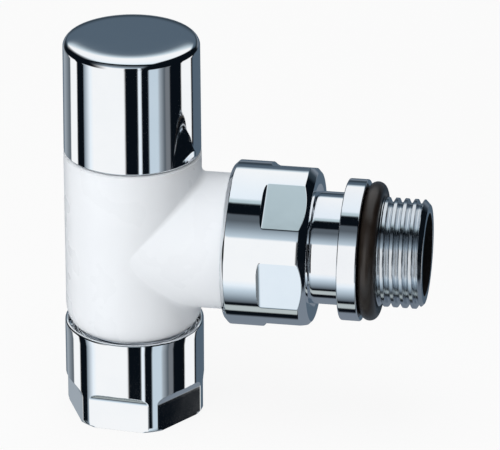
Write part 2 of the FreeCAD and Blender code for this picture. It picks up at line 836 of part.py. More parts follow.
def handwheel_hub():
    """Moulded insert: boss on the stem's square, plate, ribs and the rim that the cap grips."""
    body = new_body("handwheel_hub")
    turned(body, "hub_section", [
        ("0", "hub_floor"),
        ("hub_boss_dia / 2", "hub_floor"),
        ("hub_boss_dia / 2", "hub_plate_floor"),
        ("hub_rim_r - hub_rim_wall", "hub_plate_floor"),
        ("hub_rim_r - hub_rim_wall", "hub_rim_top - hub_rim_height"),
        ("hub_rim_r", "hub_rim_top - hub_rim_height"),
        ("hub_rim_r", "hub_rim_top"),
        ("hub_rim_r - hub_rim_wall", "hub_rim_top"),
        ("hub_rim_r - hub_rim_wall", "hub_plate_top"),
        ("hub_boss_dia / 2", "hub_plate_top"),
        ("hub_boss_dia / 2", "hub_top"),
        ("0", "hub_top"),
    ])
    rib = new_sketch(body, "hub_rib", "XY_Plane", "hub_floor + hub_rib_gap")
    draw_outline(rib, [
        ("hub_boss_dia / 2 - hub_rib", "-hub_rib / 2"),
        ("hub_rim_r - hub_rim_wall / 2", "-hub_rib / 2"),
        ("hub_rim_r - hub_rim_wall / 2", "hub_rib / 2"),
        ("hub_boss_dia / 2 - hub_rib", "hub_rib / 2"),
    ])
    first = raised(body, rib, "hub_plate_floor - hub_floor - hub_rib_gap")
    ribs = body.newObject("PartDesign::PolarPattern", "hub_ribs")
    ribs.Originals = [first]
    ribs.Axis = (origin_feature(body, "Z_Axis"), [""])
    ribs.Angle = PLAIN_TURN
    ribs.Occurrences = HUB_RIBS
    body.Tip = ribs
    doc.recompute()
    socket = new_sketch(body, "hub_socket", "XY_Plane", "hub_floor")
    draw_square(socket, "drive_square + 2 * drive_clear")
    sunk(body, socket, "hub_socket_top - hub_floor")
    bored(body, "hub_screw_hole", [
        ("0", "hub_socket_top"),
        ("hub_screw_dia / 2 + screw_clear", "hub_socket_top"),
        ("hub_screw_dia / 2 + screw_clear", "hub_top"),
        ("0", "hub_top"),
    ])


def union_nut():
    """Union nut: round at the body side, six flats outside, a lip behind the retaining ring."""
    body = new_body("union_nut")
    turned(body, "union_blank", [
        ("union_start", "union_thread_dia / 2 + union_nut_clear"),
        ("union_start", "union_nut_dia / 2 - union_near_chamfer"),
        ("union_start + union_near_chamfer", "union_nut_dia / 2"),
        ("union_end - union_far_chamfer", "union_nut_dia / 2"),
        ("union_end", "union_nut_dia / 2 - union_far_chamfer"),
        ("union_end", "union_lip_r + union_flare"),
        ("union_end - union_flare", "union_lip_r"),
        ("union_lip", "union_lip_r"),
        ("union_lip", "union_thread_dia / 2 + union_nut_clear"),
    ], "H_Axis")
    milled_flats(body, "union_flat", "union_flats", "union_nut_dia / 2",
                 "union_flats_start", "union_end", "union_flats_round", True)
    turn_about(body, X_AXIS, "union_flat_turn")


def tailpiece():
    """Radiator tail: sealed spigot, tube with the ring's groove, collar and pipe thread."""
    body = new_body("tailpiece")
    seal_half = "union_seal_wire / 2 + seal_clear"
    ring_half = "ring_wire / 2 + seal_clear"
    seal_groove = "union_seal_r - union_seal_wire / 2 - seal_clear"
    ring_groove = "tube_dia / 2 - ring_wire / 2 - seal_clear"
    blank = turned(body, "tail_section", [
        ("tail_start", "tail_entry_dia / 2"),
        ("tail_start", "spigot_dia / 2 - seal_clear"),
        ("union_seal_x - (%s)" % seal_half, "spigot_dia / 2 - seal_clear"),
        ("union_seal_x - (%s)" % seal_half, seal_groove),
        ("union_seal_x + (%s)" % seal_half, seal_groove),
        ("union_seal_x + (%s)" % seal_half, "spigot_dia / 2 - seal_clear"),
        ("tail_shoulder", "spigot_dia / 2 - seal_clear"),
        ("tail_shoulder", "tube_dia / 2"),
        ("ring_x - (%s)" % ring_half, "tube_dia / 2"),
        ("ring_x - (%s)" % ring_half, ring_groove),
        ("ring_x + (%s)" % ring_half, ring_groove),
        ("ring_x + (%s)" % ring_half, "tube_dia / 2"),
        ("collar_place", "tube_dia / 2"),
        ("collar_place", "tail_collar_dia / 2"),
        ("collar_end", "tail_collar_dia / 2"),
        ("collar_end", "tail_neck_dia / 2"),
        ("radiator_thread_start", "tail_neck_dia / 2"),
        ("radiator_thread_start", "radiator_thread_dia / 2"),
        ("tail_end - radiator_thread_lead", "radiator_thread_dia / 2"),
        ("tail_end", "radiator_thread_dia / 2 - radiator_thread_lead"),
        ("tail_end", "tail_bore_dia / 2"),
        ("key_end", "tail_bore_dia / 2"),
        ("key_end", "tail_key / 2"),
        ("tail_key_place", "tail_key / 2"),
        ("tail_key_place", "tail_entry_dia / 2"),
    ], "H_Axis")
    rims = [("tail_collar_dia / 2", "collar_place"), ("tail_collar_dia / 2", "collar_end")]
    finish_edges(body, "Chamfer", blank, ring_edges(blank.Shape, rims, X_AXIS), "tail_collar_edge")
    key = new_sketch(body, "tail_key_socket", "YZ_Plane", "tail_key_place")
    draw_hexagon(key, "tail_key")
    sunk(body, key, "tail_key_run")


def nut_retaining_ring():
    """Split wire ring in the tail's groove."""
    body = new_body("nut_retaining_ring")
    section = new_sketch(body, "ring_section")
    draw_circle(section, "ring_x", "tube_dia / 2", "ring_wire / 2")
    turn_sketch(body, "Revolution", section, "H_Axis")
    mouth = new_sketch(body, "ring_mouth_cut", "YZ_Plane", "ring_x - ring_wire")
    draw_outline(mouth, [
        ("0", "ring_mouth / 2"),
        ("0", "-ring_mouth / 2"),
        ("tube_dia", "-ring_mouth / 2"),
        ("tube_dia", "ring_mouth / 2"),
    ])
    sunk(body, mouth, "2 * ring_wire")


def pipe_nut():
    """Compression nut: a dished rim round the foot, six flats below, a cone on the olive."""
    body = new_body("pipe_nut")
    blank = turned(body, "pipe_nut_blank", [
        ("stub_dia / 2 + pipe_nut_clear", "pipe_nut_top"),
        ("pipe_dish_r", "pipe_nut_top"),
        ("pipe_rim_r", "pipe_rim_top"),
        ("pipe_nut_dia / 2", "pipe_rim_top"),
        ("pipe_nut_dia / 2", "pipe_nut_floor"),
        ("pipe_bore_r", "pipe_nut_floor"),
        ("pipe_bore_r", "pipe_bore_top"),
        ("pipe_cone_r", "pipe_cone_top"),
        ("pipe_cone_r", "pipe_thread_floor"),
        ("stub_dia / 2 + pipe_nut_clear", "pipe_thread_floor"),
    ])
    top = ring_edges(blank.Shape, [("pipe_nut_dia / 2", "pipe_rim_top")], Z_AXIS)
    rounded = finish_edges(body, "Fillet", blank, top, "pipe_nut_edge")
    floor = ring_edges(rounded.Shape, [("pipe_nut_dia / 2", "pipe_nut_floor")], Z_AXIS)
    finish_edges(body, "Chamfer", rounded, floor, "pipe_nut_edge")
    milled_flats(body, "pipe_flat", "pipe_flats", "pipe_nut_dia / 2",
                 "pipe_nut_floor + pipe_flats_run", "pipe_nut_floor", "pipe_flats_round", False)
    turn_about(body, Z_AXIS, "pipe_flat_turn")


def olive():
    """Compression ring: a belt between two cones."""
    body = new_body("olive")
    turned(body, "olive_section", [
        ("socket_r", "olive_belt_floor - (olive_r - olive_end_r)"),
        ("olive_end_r", "olive_belt_floor - (olive_r - olive_end_r)"),
        ("olive_r", "olive_belt_floor"),
        ("olive_r", "olive_belt_top"),
        ("olive_end_r", "olive_belt_top + (olive_r - olive_end_r)"),
        ("socket_r", "olive_belt_top + (olive_r - olive_end_r)"),
    ])


def build():
    """Make every piece of the valve."""
    valve_body()
    bonnet()
    o_ring("bonnet_seal", "bonnet_seal_r", "bonnet_seal_wire",
           "bonnet_seal_floor + seal_clear + bonnet_seal_wire / 2")
    gland_nut()
    stem()
    o_ring("stem_seal_lower", "lower_seal_r", "lower_seal_wire", "lower_seal_z")
    o_ring("stem_seal_upper", "upper_seal_r", "upper_seal_wire", "upper_seal_z")
    thrust_washer()
    stem_circlip()
    disc_carrier()
    valve_disc()
    disc_plate()
    key_screw("disc_screw", "disc_screw_dia", "disc_screw_tip", "disc_head_top",
              "disc_head_floor", "disc_head_dia", "disc_head_dia / 2")
    handwheel_cap()
    handwheel_hub()
    key_screw("handwheel_screw", "hub_screw_dia", "hub_screw_tip", "hub_top",
              "hub_top + hub_head_height", "hub_head_dia", "hub_head_dia / 2")
    union_nut()
    tailpiece()
    nut_retaining_ring()
    o_ring("union_seal", "union_seal_r", "union_seal_wire", "union_seal_x", along_x=True)
    o_ring("radiator_seal", "radiator_seal_r", "radiator_seal_wire", "radiator_seal_x", along_x=True)
    pipe_nut()
    olive()
    doc.recompute()


def export():
    """Check every object and write each piece to its own file."""
    for item in doc.Objects:
        if "Invalid" in item.State or "Error" in item.State:
            raise RuntimeError("%s failed: %s" % (item.Name, item.State))
    pieces = [item for item in doc.Objects if item.TypeId == "PartDesign::Body"]
    for piece in pieces:
        if piece.Shape.isNull() or not piece.Shape.isValid() or len(piece.Shape.Solids) != 1:
            raise RuntimeError("%s is not one sound solid" % piece.Label)
    os.makedirs("parts", exist_ok=True)
    for piece in pieces:
        piece.Shape.exportStep("parts/%s.step" % piece.Label)
        box = piece.Shape.BoundBox
        print("%-20s %9.1f mm3  x %6.2f..%6.2f  y %6.2f..%6.2f  z %6.2f..%6.2f" % (
            piece.Label, piece.Shape.Volume, box.XMin, box.XMax, box.YMin, box.YMax, box.ZMin, box.ZMax))


build()
export()
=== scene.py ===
"""Looks of a manual angle radiator valve: white enamel body, chromed cap, nuts and tail.

Sizes are millimetres about the crossing of the valve's upright axis and its tail's axis.
A finished mesh is lifted to the frame, in metres, as its last step. A size named after a
round form alone is its radius, a run is a length, a step is the length of the longest face,
and turn_steps count the faces round a piece.
"""
import json
import logging
import math
from collections.abc import Callable, Iterable
from dataclasses import dataclass, field
from enum import Enum

import bmesh
import bpy
from mathutils import Matrix, Vector

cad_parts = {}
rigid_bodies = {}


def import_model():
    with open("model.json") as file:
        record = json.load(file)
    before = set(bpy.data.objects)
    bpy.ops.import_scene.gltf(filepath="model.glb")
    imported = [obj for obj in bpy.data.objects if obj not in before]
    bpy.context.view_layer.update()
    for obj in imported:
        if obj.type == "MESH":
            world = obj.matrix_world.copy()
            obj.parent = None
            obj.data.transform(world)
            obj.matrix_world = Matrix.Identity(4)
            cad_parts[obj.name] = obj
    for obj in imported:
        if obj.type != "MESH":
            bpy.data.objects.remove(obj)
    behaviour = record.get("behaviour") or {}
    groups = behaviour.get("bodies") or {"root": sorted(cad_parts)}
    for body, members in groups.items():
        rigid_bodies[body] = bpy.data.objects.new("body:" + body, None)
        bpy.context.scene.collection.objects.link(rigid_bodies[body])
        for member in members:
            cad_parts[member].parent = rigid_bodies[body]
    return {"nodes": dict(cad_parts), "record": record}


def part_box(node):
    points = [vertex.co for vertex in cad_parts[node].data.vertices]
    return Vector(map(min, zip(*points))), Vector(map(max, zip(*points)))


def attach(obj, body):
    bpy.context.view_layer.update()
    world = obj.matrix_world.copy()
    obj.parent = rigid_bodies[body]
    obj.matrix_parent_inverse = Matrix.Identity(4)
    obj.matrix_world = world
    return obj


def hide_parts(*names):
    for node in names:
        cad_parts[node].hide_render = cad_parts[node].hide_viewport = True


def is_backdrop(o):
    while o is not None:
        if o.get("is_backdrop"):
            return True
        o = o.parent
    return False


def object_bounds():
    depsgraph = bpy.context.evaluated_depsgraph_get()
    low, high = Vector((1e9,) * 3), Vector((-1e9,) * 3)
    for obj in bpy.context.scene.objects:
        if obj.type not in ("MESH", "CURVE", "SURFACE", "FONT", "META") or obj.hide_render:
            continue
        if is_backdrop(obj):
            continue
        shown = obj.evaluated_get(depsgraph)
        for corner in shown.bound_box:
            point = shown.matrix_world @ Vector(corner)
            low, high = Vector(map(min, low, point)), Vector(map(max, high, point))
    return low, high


LOG = logging.getLogger("radiator_valve")

MM = 0.001
FULL_TURN = 2.0 * math.pi
HEX_SIDES = 6
SHARP_ANGLE = math.radians(32.0)
WELD = 1e-4
UP = Vector((0.0, 0.0, 1.0))
NOWHERE = (0.0, 0.0, 0.0)
CLOUD_EDGES = (0.3, 0.7)
LINE_WANDER = 4e-5
UPRIGHT_TURN = (0.0, math.pi / 2.0, 0.0)

Pair = tuple[float, float]
Triple = tuple[float, float, float]
Colour = Triple
Skin = bmesh.types.BMesh
Socket = bpy.types.NodeSocket
Feed = Socket | float | tuple[float, ...]
Rule = Callable[[float, float, float], float]


class Axis(Enum):
    """An axis that pieces are turned about, with its own direction."""

    UPRIGHT = (0.0, 0.0, 1.0)
    TAIL = (1.0, 0.0, 0.0)

    def place(self, out: float, along: float, angle: float = 0.0) -> Vector:
        """Find the point at a distance out from the axis, a distance along it and an angle.

        Args:
            out: Distance from the axis.
            along: Distance along the axis from the crossing.
            angle: Turn in radians, from +X to +Y about the upright axis and from -Y to +Z about the tail's.

        Returns:
            The point about the crossing.
        """
        across, up = out * math.cos(angle), out * math.sin(angle)
        return Vector((across, up, along)) if self is Axis.UPRIGHT else Vector((along, -across, up))

    def polar(self, point: Vector) -> tuple[float, float, float]:
        """Give a point's distance out, distance along and angle, as place takes them."""
        across, up, along = point if self is Axis.UPRIGHT else (-point.y, point.z, point.x)
        return math.hypot(across, up), along, math.atan2(up, across)


class Slot(Enum):
    """Material slots of the record."""

    ENAMEL = "white_enamel"
    CHROME = "chrome"
    TAIL = "chrome_tail"
    RUBBER = "black_rubber"
    BRASS = "brass"
    STEEL = "spring_steel"
    HUB = "hub_plastic"
    WASHER = "washer_plastic"


def add_object(name: str, data: bpy.types.ID) -> bpy.types.Object:
    """Put a new object into the scene.

    Args:
        name: The object's name.
        data: Its mesh, camera or light.

    Returns:
        The new object.
    """
    item = bpy.data.objects.new(name, data)
    bpy.context.scene.collection.objects.link(item)
    return item


class Wiring:
    """Adds nodes to a tree and joins them."""

    def __init__(self, tree: bpy.types.NodeTree) -> None:
        """Empty a node tree to build in."""
        self.tree = tree
        tree.nodes.clear()

    def add(self, kind: str, feeds: dict[str | int, Feed] | None = None,
            **settings: object) -> bpy.types.Node:
        """Add a node.

        Args:
            kind: The node's type name.
            feeds: Values or sockets for its inputs.
            **settings: Properties of the node.

        Returns:
            The new node.
        """
        node = self.tree.nodes.new(kind)
        for name, setting in settings.items():
            setattr(node, name, setting)
        for key, feed in (feeds or {}).items():
            self.feed(node.inputs[key], feed)
        return node

    def feed(self, socket: Socket, feed: Feed) -> None:
        """Link a socket to another, or set its own value.

        Args:
            socket: The input to feed.
            feed: Another node's output, or a value.
        """
        if isinstance(feed, Socket):
            self.tree.links.new(feed, socket)
        else:
            socket.default_value = feed

    def maths(self, operation: str, first: Feed, second: Feed = 0.0) -> Socket:
        """Add a math node and give its output."""
        return self.add("ShaderNodeMath", {0: first, 1: second}, operation=operation).outputs[0]

    def blend(self, factor: Feed, first: Feed, second: Feed) -> Socket:
        """Add a colour mix and give its output."""
        node = self.add("ShaderNodeMix", {"Factor": factor, 6: first, 7: second}, data_type="RGBA")
        return node.outputs[2]

    def spread(self, value: Feed, low: float, high: float, to_low: float, to_high: float) -> Socket:
        """Map a value from one range smoothly onto another and give the result."""
        feeds = {"Value": value, "From Min": low, "From Max": high, "To Min": to_low, "To Max": to_high}
        return self.add("ShaderNodeMapRange", feeds, interpolation_type="SMOOTHSTEP").outputs["Result"]


class Effects:
    """Shader groups that several finishes share."""

    def __init__(self) -> None:
        """Build each group once."""
        self.mottle = self._mottle()
        self.turning = self._turning()

    @staticmethod
    def _group(name: str, inputs: dict[str, float],
               output: str) -> tuple[Wiring, bpy.types.Node, bpy.types.Node]:
        """Start a group that takes a place and some numbers and gives one value.

        Args:
            name: The group's name.
            inputs: Named numbers with their usual values.
            output: The name of the value that it gives.

        Returns:
            The wiring, the input node and the output node.
        """
        tree = bpy.data.node_groups.new(name, "ShaderNodeTree")
        tree.interface.new_socket("Place", in_out="INPUT", socket_type="NodeSocketVector")
        for label, usual in inputs.items():
            socket = tree.interface.new_socket(label, in_out="INPUT", socket_type="NodeSocketFloat")
            socket.default_value = usual
        tree.interface.new_socket(output, in_out="OUTPUT", socket_type="NodeSocketFloat")
        wiring = Wiring(tree)
        return wiring, wiring.add("NodeGroupInput"), wiring.add("NodeGroupOutput")

    def _mottle(self) -> bpy.types.NodeTree:
        """Make soft clouds over a surface.

        Returns:
            The group, which gives a value from 0 to 1.
        """
        wiring, start, end = self._group("soft_mottle", {"Scale": 200.0, "Detail": 3.0}, "Cloud")
        feeds = {"Vector": start.outputs["Place"], "Scale": start.outputs["Scale"],
                 "Detail": start.outputs["Detail"]}
        cloud = wiring.add("ShaderNodeTexNoise", feeds)
        wiring.feed(end.inputs["Cloud"], wiring.spread(cloud.outputs["Fac"], *CLOUD_EDGES, 0.0, 1.0))
        return wiring.tree

    def _turning(self) -> bpy.types.NodeTree:
        """Make fine tool lines that run round the X axis.

        Returns:
            The group, which gives a value from 0 to 1.
        """
        wiring, start, end = self._group("turning_lines", {"Lines": 9000.0, "Wander": 40.0}, "Line")
        along = wiring.add("ShaderNodeSeparateXYZ", {0: start.outputs["Place"]}).outputs["X"]
        drift = wiring.add("ShaderNodeTexNoise",
                           {"Vector": start.outputs["Place"], "Scale": start.outputs["Wander"]})
        shift = wiring.maths("MULTIPLY", drift.outputs["Fac"], LINE_WANDER)
        lines = wiring.add("ShaderNodeTexNoise",
                           {"W": wiring.maths("ADD", along, shift), "Scale": start.outputs["Lines"]},
                           noise_dimensions="1D")
        wiring.feed(end.inputs["Line"], lines.outputs["Fac"])
        return wiring.tree


class Grain(Enum):
    """The small relief that a finish carries."""

    CLOUD = "cloud"
    TURNED_UPRIGHT = "turned about the upright axis"
    TURNED_TAIL = "turned about the tail's axis"


@dataclass(frozen=True)
class Finish:
    """One surface finish."""

    name: str
    colour: Colour
    drift: Colour  # the colour that its clouds drift to
    cloud_scale: float  # clouds to a metre
    metallic: float
    roughness: float  # between the clouds
    rough_drift: float  # in the clouds
    grain: Grain
    grain_scale: float  # relief marks to a metre
    grain_height: float  # in metres
    specular: float = 0.5

    def make(self, effects: Effects) -> bpy.types.Material:
        """Build the material.

        Args:
            effects: The shared shader groups.

        Returns:
            The new material.
        """
        material = bpy.data.materials.new(self.name)
        material.use_nodes = True
        wiring = Wiring(material.node_tree)
        place = wiring.add("ShaderNodeTexCoord").outputs["Object"]
        cloud = wiring.add("ShaderNodeGroup", {"Place": place, "Scale": self.cloud_scale},
                           node_tree=effects.mottle)
        shader = wiring.add("ShaderNodeBsdfPrincipled", {
            "Base Color": wiring.blend(cloud.outputs["Cloud"], (*self.colour, 1.0), (*self.drift, 1.0)),
            "Metallic": self.metallic,
            "Roughness": wiring.spread(cloud.outputs["Cloud"], 0.0, 1.0, self.roughness, self.rough_drift),
            "Normal": self._relief(wiring, effects, place),
            "Specular IOR Level": self.specular,
        })
        wiring.add("ShaderNodeOutputMaterial", {"Surface": shader.outputs["BSDF"]})
        return material

    def _relief(self, wiring: Wiring, effects: Effects, place: Socket) -> Socket:
        """Add the small relief and give the bent normal.

        Args:
            wiring: The material's wiring.
            effects: The shared shader groups.
            place: The place on the piece.

        Returns:
            The normal's socket.
        """
        group = effects.mottle if self.grain is Grain.CLOUD else effects.turning
        if self.grain is Grain.TURNED_UPRIGHT:
            place = wiring.add("ShaderNodeMapping", {"Vector": place, "Rotation": UPRIGHT_TURN}).outputs[0]
        marks = wiring.add("ShaderNodeGroup", {"Place": place, 1: self.grain_scale}, node_tree=group)
        bump = wiring.add("ShaderNodeBump", {"Height": marks.outputs[0], "Distance": self.grain_height})
        return bump.outputs["Normal"]


FINISHES = {
    Slot.ENAMEL: Finish("white_enamel", (0.875, 0.905, 0.94), (0.865, 0.895, 0.93), 90.0, 0.0, 0.26, 0.32,
                        Grain.CLOUD, 900.0, 8e-7, specular=0.2),
    Slot.CHROME: Finish("chrome", (0.9, 0.92, 0.94), (0.88, 0.905, 0.93), 120.0, 1.0, 0.03, 0.05,
                        Grain.CLOUD, 140.0, 2e-6),
    Slot.TAIL: Finish("chrome_tail", (0.88, 0.9, 0.925), (0.86, 0.88, 0.91), 160.0, 1.0, 0.04, 0.07,
                      Grain.TURNED_TAIL, 9000.0, 8e-7),
    Slot.RUBBER: Finish("black_rubber", (0.016, 0.0115, 0.009), (0.021, 0.016, 0.013), 500.0, 0.0, 0.28, 0.34,
                        Grain.CLOUD, 3000.0, 6e-6),
    Slot.BRASS: Finish("brass", (0.72, 0.53, 0.24), (0.64, 0.46, 0.2), 260.0, 1.0, 0.24, 0.34,
                       Grain.TURNED_UPRIGHT, 7000.0, 4e-6),
    Slot.STEEL: Finish("spring_steel", (0.56, 0.57, 0.58), (0.5, 0.51, 0.52), 400.0, 1.0, 0.25, 0.36,
                       Grain.CLOUD, 2500.0, 3e-6),
    Slot.HUB: Finish("hub_plastic", (0.74, 0.74, 0.71), (0.7, 0.7, 0.67), 150.0, 0.0, 0.45, 0.55,
                     Grain.CLOUD, 2600.0, 6e-6),
    Slot.WASHER: Finish("washer_plastic", (0.82, 0.82, 0.79), (0.78, 0.78, 0.75), 200.0, 0.0, 0.35, 0.45,
                        Grain.CLOUD, 1800.0, 4e-6),
}
THREAD_CHROME = Finish("satin_thread_chrome", (0.68, 0.72, 0.76), (0.65, 0.69, 0.73), 400.0, 1.0, 0.13, 0.17,
                       Grain.TURNED_TAIL, 6000.0, 6e-7)
# Painted shade: a near-black colour that stands in for the shade deep inside the tail's bore.
BORE_PAINTED_SHADE = Finish("bore_painted_shade", (0.012, 0.012, 0.013), (0.008, 0.008, 0.009), 300.0, 0.0, 0.75, 0.85,
                    Grain.TURNED_TAIL, 4000.0, 6e-6, specular=0.15)


@dataclass(frozen=True)
class Corner:
    """A corner of a section outline."""

    out: float
    along: float
    edge: float = 0.0  # set-back of its round, 0 for a plain one
    steps: int = 4  # segments of the round


@dataclass(frozen=True)
class Stretch:
    """A stretch of the axis where an outline is divided finely."""

    start: float
    end: float
    step: float
    low_out: float = -WELD  # smallest distance out

    def holds(self, out: float, along: float) -> bool:
        """Say whether a point lies in the stretch."""
        return out > self.low_out and self.start - WELD <= along <= self.end + WELD


@dataclass
class Workshop:
    """Makes meshes and hands them to the frame."""

    lift: float  # height of the tail's axis over the frame's origin, in metres
    nodes: dict[str, bpy.types.Object]
    effects: Effects = field(default_factory=Effects)
    materials: dict[Slot, bpy.types.Material] = field(default_factory=dict)

    def __post_init__(self) -> None:
        """Make the material of each slot."""
        for slot, finish in FINISHES.items():
            self.materials[slot] = finish.make(self.effects)

    def box(self, node: str) -> tuple[Vector, Vector]:
        """Give a node's corners in millimetres about the crossing."""
        low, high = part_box(node)
        return (low - UP * self.lift) / MM, (high - UP * self.lift) / MM

    def turned(self, axis: Axis, outline: Iterable[Corner], turn_steps: int,
               stretches: Iterable[Stretch] = ()) -> Skin:
        """Turn a closed section outline into a ring or solid.

        Args:
            axis: The axis to turn about.
            outline: The section's corners in order.
            turn_steps: Faces round the axis.
            stretches: Where the outline is divided finely.

        Returns:
            The mesh, in millimetres about the crossing.
        """
        mesh = bmesh.new()
        corners = list(outline)
        verts = [mesh.verts.new(axis.place(corner.out, corner.along)) for corner in corners]
        for first, second in zip(verts, verts[1:] + verts[:1]):
            mesh.edges.new((first, second))
        for corner, vert in zip(corners, verts):
            if corner.edge > 0.0:
                bmesh.ops.bevel(mesh, geom=[vert], offset=corner.edge, offset_type="OFFSET",
                                segments=corner.steps, profile=0.5, affect="VERTICES", material=-1)
        for stretch in stretches:
            self._divide(mesh, axis, stretch)
        self.spin(mesh, axis, turn_steps)
        return mesh

    @staticmethod
    def spin(mesh: Skin, axis: Axis, turn_steps: int) -> None:
        """Sweep an outline once round an axis.

        Args:
            mesh: The mesh that holds the outline.
            axis: The axis to turn about.
            turn_steps: Faces round the axis.
        """
        bmesh.ops.spin(mesh, geom=mesh.verts[:] + mesh.edges[:], cent=NOWHERE, dvec=NOWHERE,
                       axis=axis.value, angle=FULL_TURN, steps=turn_steps, use_merge=True)
        bmesh.ops.remove_doubles(mesh, verts=mesh.verts, dist=WELD)
        bmesh.ops.recalc_face_normals(mesh, faces=mesh.faces)

    @staticmethod
    def _divide(mesh: Skin, axis: Axis, stretch: Stretch) -> None:
        """Divide an outline's edges inside a stretch to its step.

        Args:
            mesh: The mesh that holds the outline.
            axis: The outline's axis.
            stretch: The stretch to divide.
        """
        for edge in mesh.edges[:]:
            if all(stretch.holds(*axis.polar(vert.co)[:2]) for vert in edge.verts):
                cuts = math.ceil(edge.calc_length() / stretch.step) - 1
                if cuts > 0:
                    bmesh.ops.subdivide_edges(mesh, edges=[edge], cuts=cuts)

    @staticmethod
    def soften(mesh: Skin) -> None:
        """Shade a mesh smooth, with its sharp edges kept.

        Args:
            mesh: The mesh to shade.
        """
        for face in mesh.faces:
            face.smooth = True
        for edge in mesh.edges:
            edge.smooth = edge.calc_face_angle(0.0) < SHARP_ANGLE

    @staticmethod
    def reshape(mesh: Skin, axis: Axis, rule: Rule) -> None:
        """Move each point in or out to the distance that a rule gives.

        Args:
            mesh: The mesh to change.
            axis: The axis that distances are taken from.
            rule: Gives the new distance from the distance out, the distance along and the angle.
        """
        for vert in mesh.verts:
            out, along, angle = axis.polar(vert.co)
            moved = rule(out, along, angle)
            if moved != out:
                vert.co = axis.place(moved, along, angle)

    def piece(self, name: str, mesh: Skin, slot: Slot, body: str,
              replaced: str | None = None) -> bpy.types.Object:
        """Finish a mesh as a piece of the valve.

        Args:
            name: The piece's name.
            mesh: Its mesh, in millimetres about the crossing.
            slot: Its material slot.
            body: The body that it rides on.
            replaced: The CAD node that it stands for.

        Returns:
            The new object.
        """
        lifted = Matrix.Translation(UP * self.lift) @ Matrix.Scale(MM, 4)
        bmesh.ops.transform(mesh, matrix=lifted, verts=mesh.verts)
        data = bpy.data.meshes.new(name)
        mesh.to_mesh(data)
        mesh.free()
        data.materials.append(self.materials[slot])
        item = add_object(name, data)
        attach(item, body)
        if replaced is not None:
            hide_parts(replaced)
        LOG.info("made %s with %d faces", name, len(data.polygons))
        return item

    @staticmethod
    def even_shading(item: bpy.types.Object) -> None:
        """Let a piece's larger faces lead the shading at its small rounds."""
        even = item.modifiers.new("even_shading", "WEIGHTED_NORMAL")
        even.mode, even.keep_sharp = "FACE_AREA", True

    def dress(self, slot: Slot, *nodes: str) -> None:
        """Give CAD nodes that stay their finish.

        Args:
            slot: Their material slot.
            *nodes: Their names.
        """
        for node in nodes:
            data = self.nodes[node].data
            data.materials.clear()
            data.materials.append(self.materials[slot])
            LOG.info("dressed %s as %s", node, slot.value)


@dataclass(frozen=True)
class Flats:
    """Six flats milled round one end of a nut."""

    across: float  # distance across two flats
    start: float
    toward: float  # 1 where they run to higher places, or -1
    corner: float  # radius of the cutter's corner, on which each flat runs out
    turn: float  # angle of one flat's normal, in degrees

    def limit(self, out: float, along: float, angle: float) -> float:
        """Hold a point inside the flat that it meets.

        Args:
            out: Distance from the axis.
            along: Distance along the axis.
            angle: Angle round the axis, in radians.

        Returns:
            The distance out that is left.
        """
        behind = (self.start - along) * self.toward
        if behind >= self.corner:
            return out
        climb = 0.0
        if behind > 0.0:
            climb = self.corner - math.sqrt(self.corner ** 2 - behind ** 2)
        side = FULL_TURN / HEX_SIDES
        lean = (angle - math.radians(self.turn) + side / 2.0) % side - side / 2.0
        return min(out, (self.across / 2.0 + climb) / math.cos(lean))


@dataclass(frozen=True)
class Thread:
    """A rounded 55 degree pipe thread."""

    crest: float
    pitch: float
    start: float
    end: float
    fade: float  # length of its fade-in
    worn: float = 0.0  # share of the depth taken off its crests

    HALF_ANGLE = math.radians(27.5)
    DEPTH_TO_PITCH = 0.6403
    ROUND_TO_PITCH = 0.1373

    @property
    def depth(self) -> float:
        """Depth from crest to root."""
        return self.DEPTH_TO_PITCH * self.pitch

    def rise(self, along: float, angle: float) -> float:
        """Give the thread's height over its middle radius.

        Args:
            along: Distance along the axis.
            angle: Angle round the axis, in radians.

        Returns:
            A height from minus to plus half the depth.
        """
        quarter = self.pitch / 4.0
        phase = (along + self.pitch * angle / FULL_TURN + quarter) % self.pitch
        offset = phase - quarter if phase < 2.0 * quarter else 3.0 * quarter - phase
        tip = self.ROUND_TO_PITCH * self.pitch
        if quarter - abs(offset) > tip * math.cos(self.HALF_ANGLE):
            return offset / math.tan(self.HALF_ANGLE)
        height = self.depth / 2.0 - tip + math.sqrt(tip ** 2 - (quarter - abs(offset)) ** 2)
        return math.copysign(height, offset)

    def cut(self, out: float, along: float, angle: float) -> float:
        """Sink a point of the blank to the thread's surface.

        Args:
            out: Distance from the axis.
            along: Distance along the axis.
            angle: Angle round the axis, in radians.

        Returns:
            The distance out that is left.
        """
        if out < self.crest - self.depth or not self.start <= along <= self.end + WELD:
            return out
        share = min(1.0, (along - self.start) / self.fade)
        drop = max(0.0, self.depth * (0.5 - self.worn) - self.rise(along, angle))
        return min(out, self.crest - share * drop)


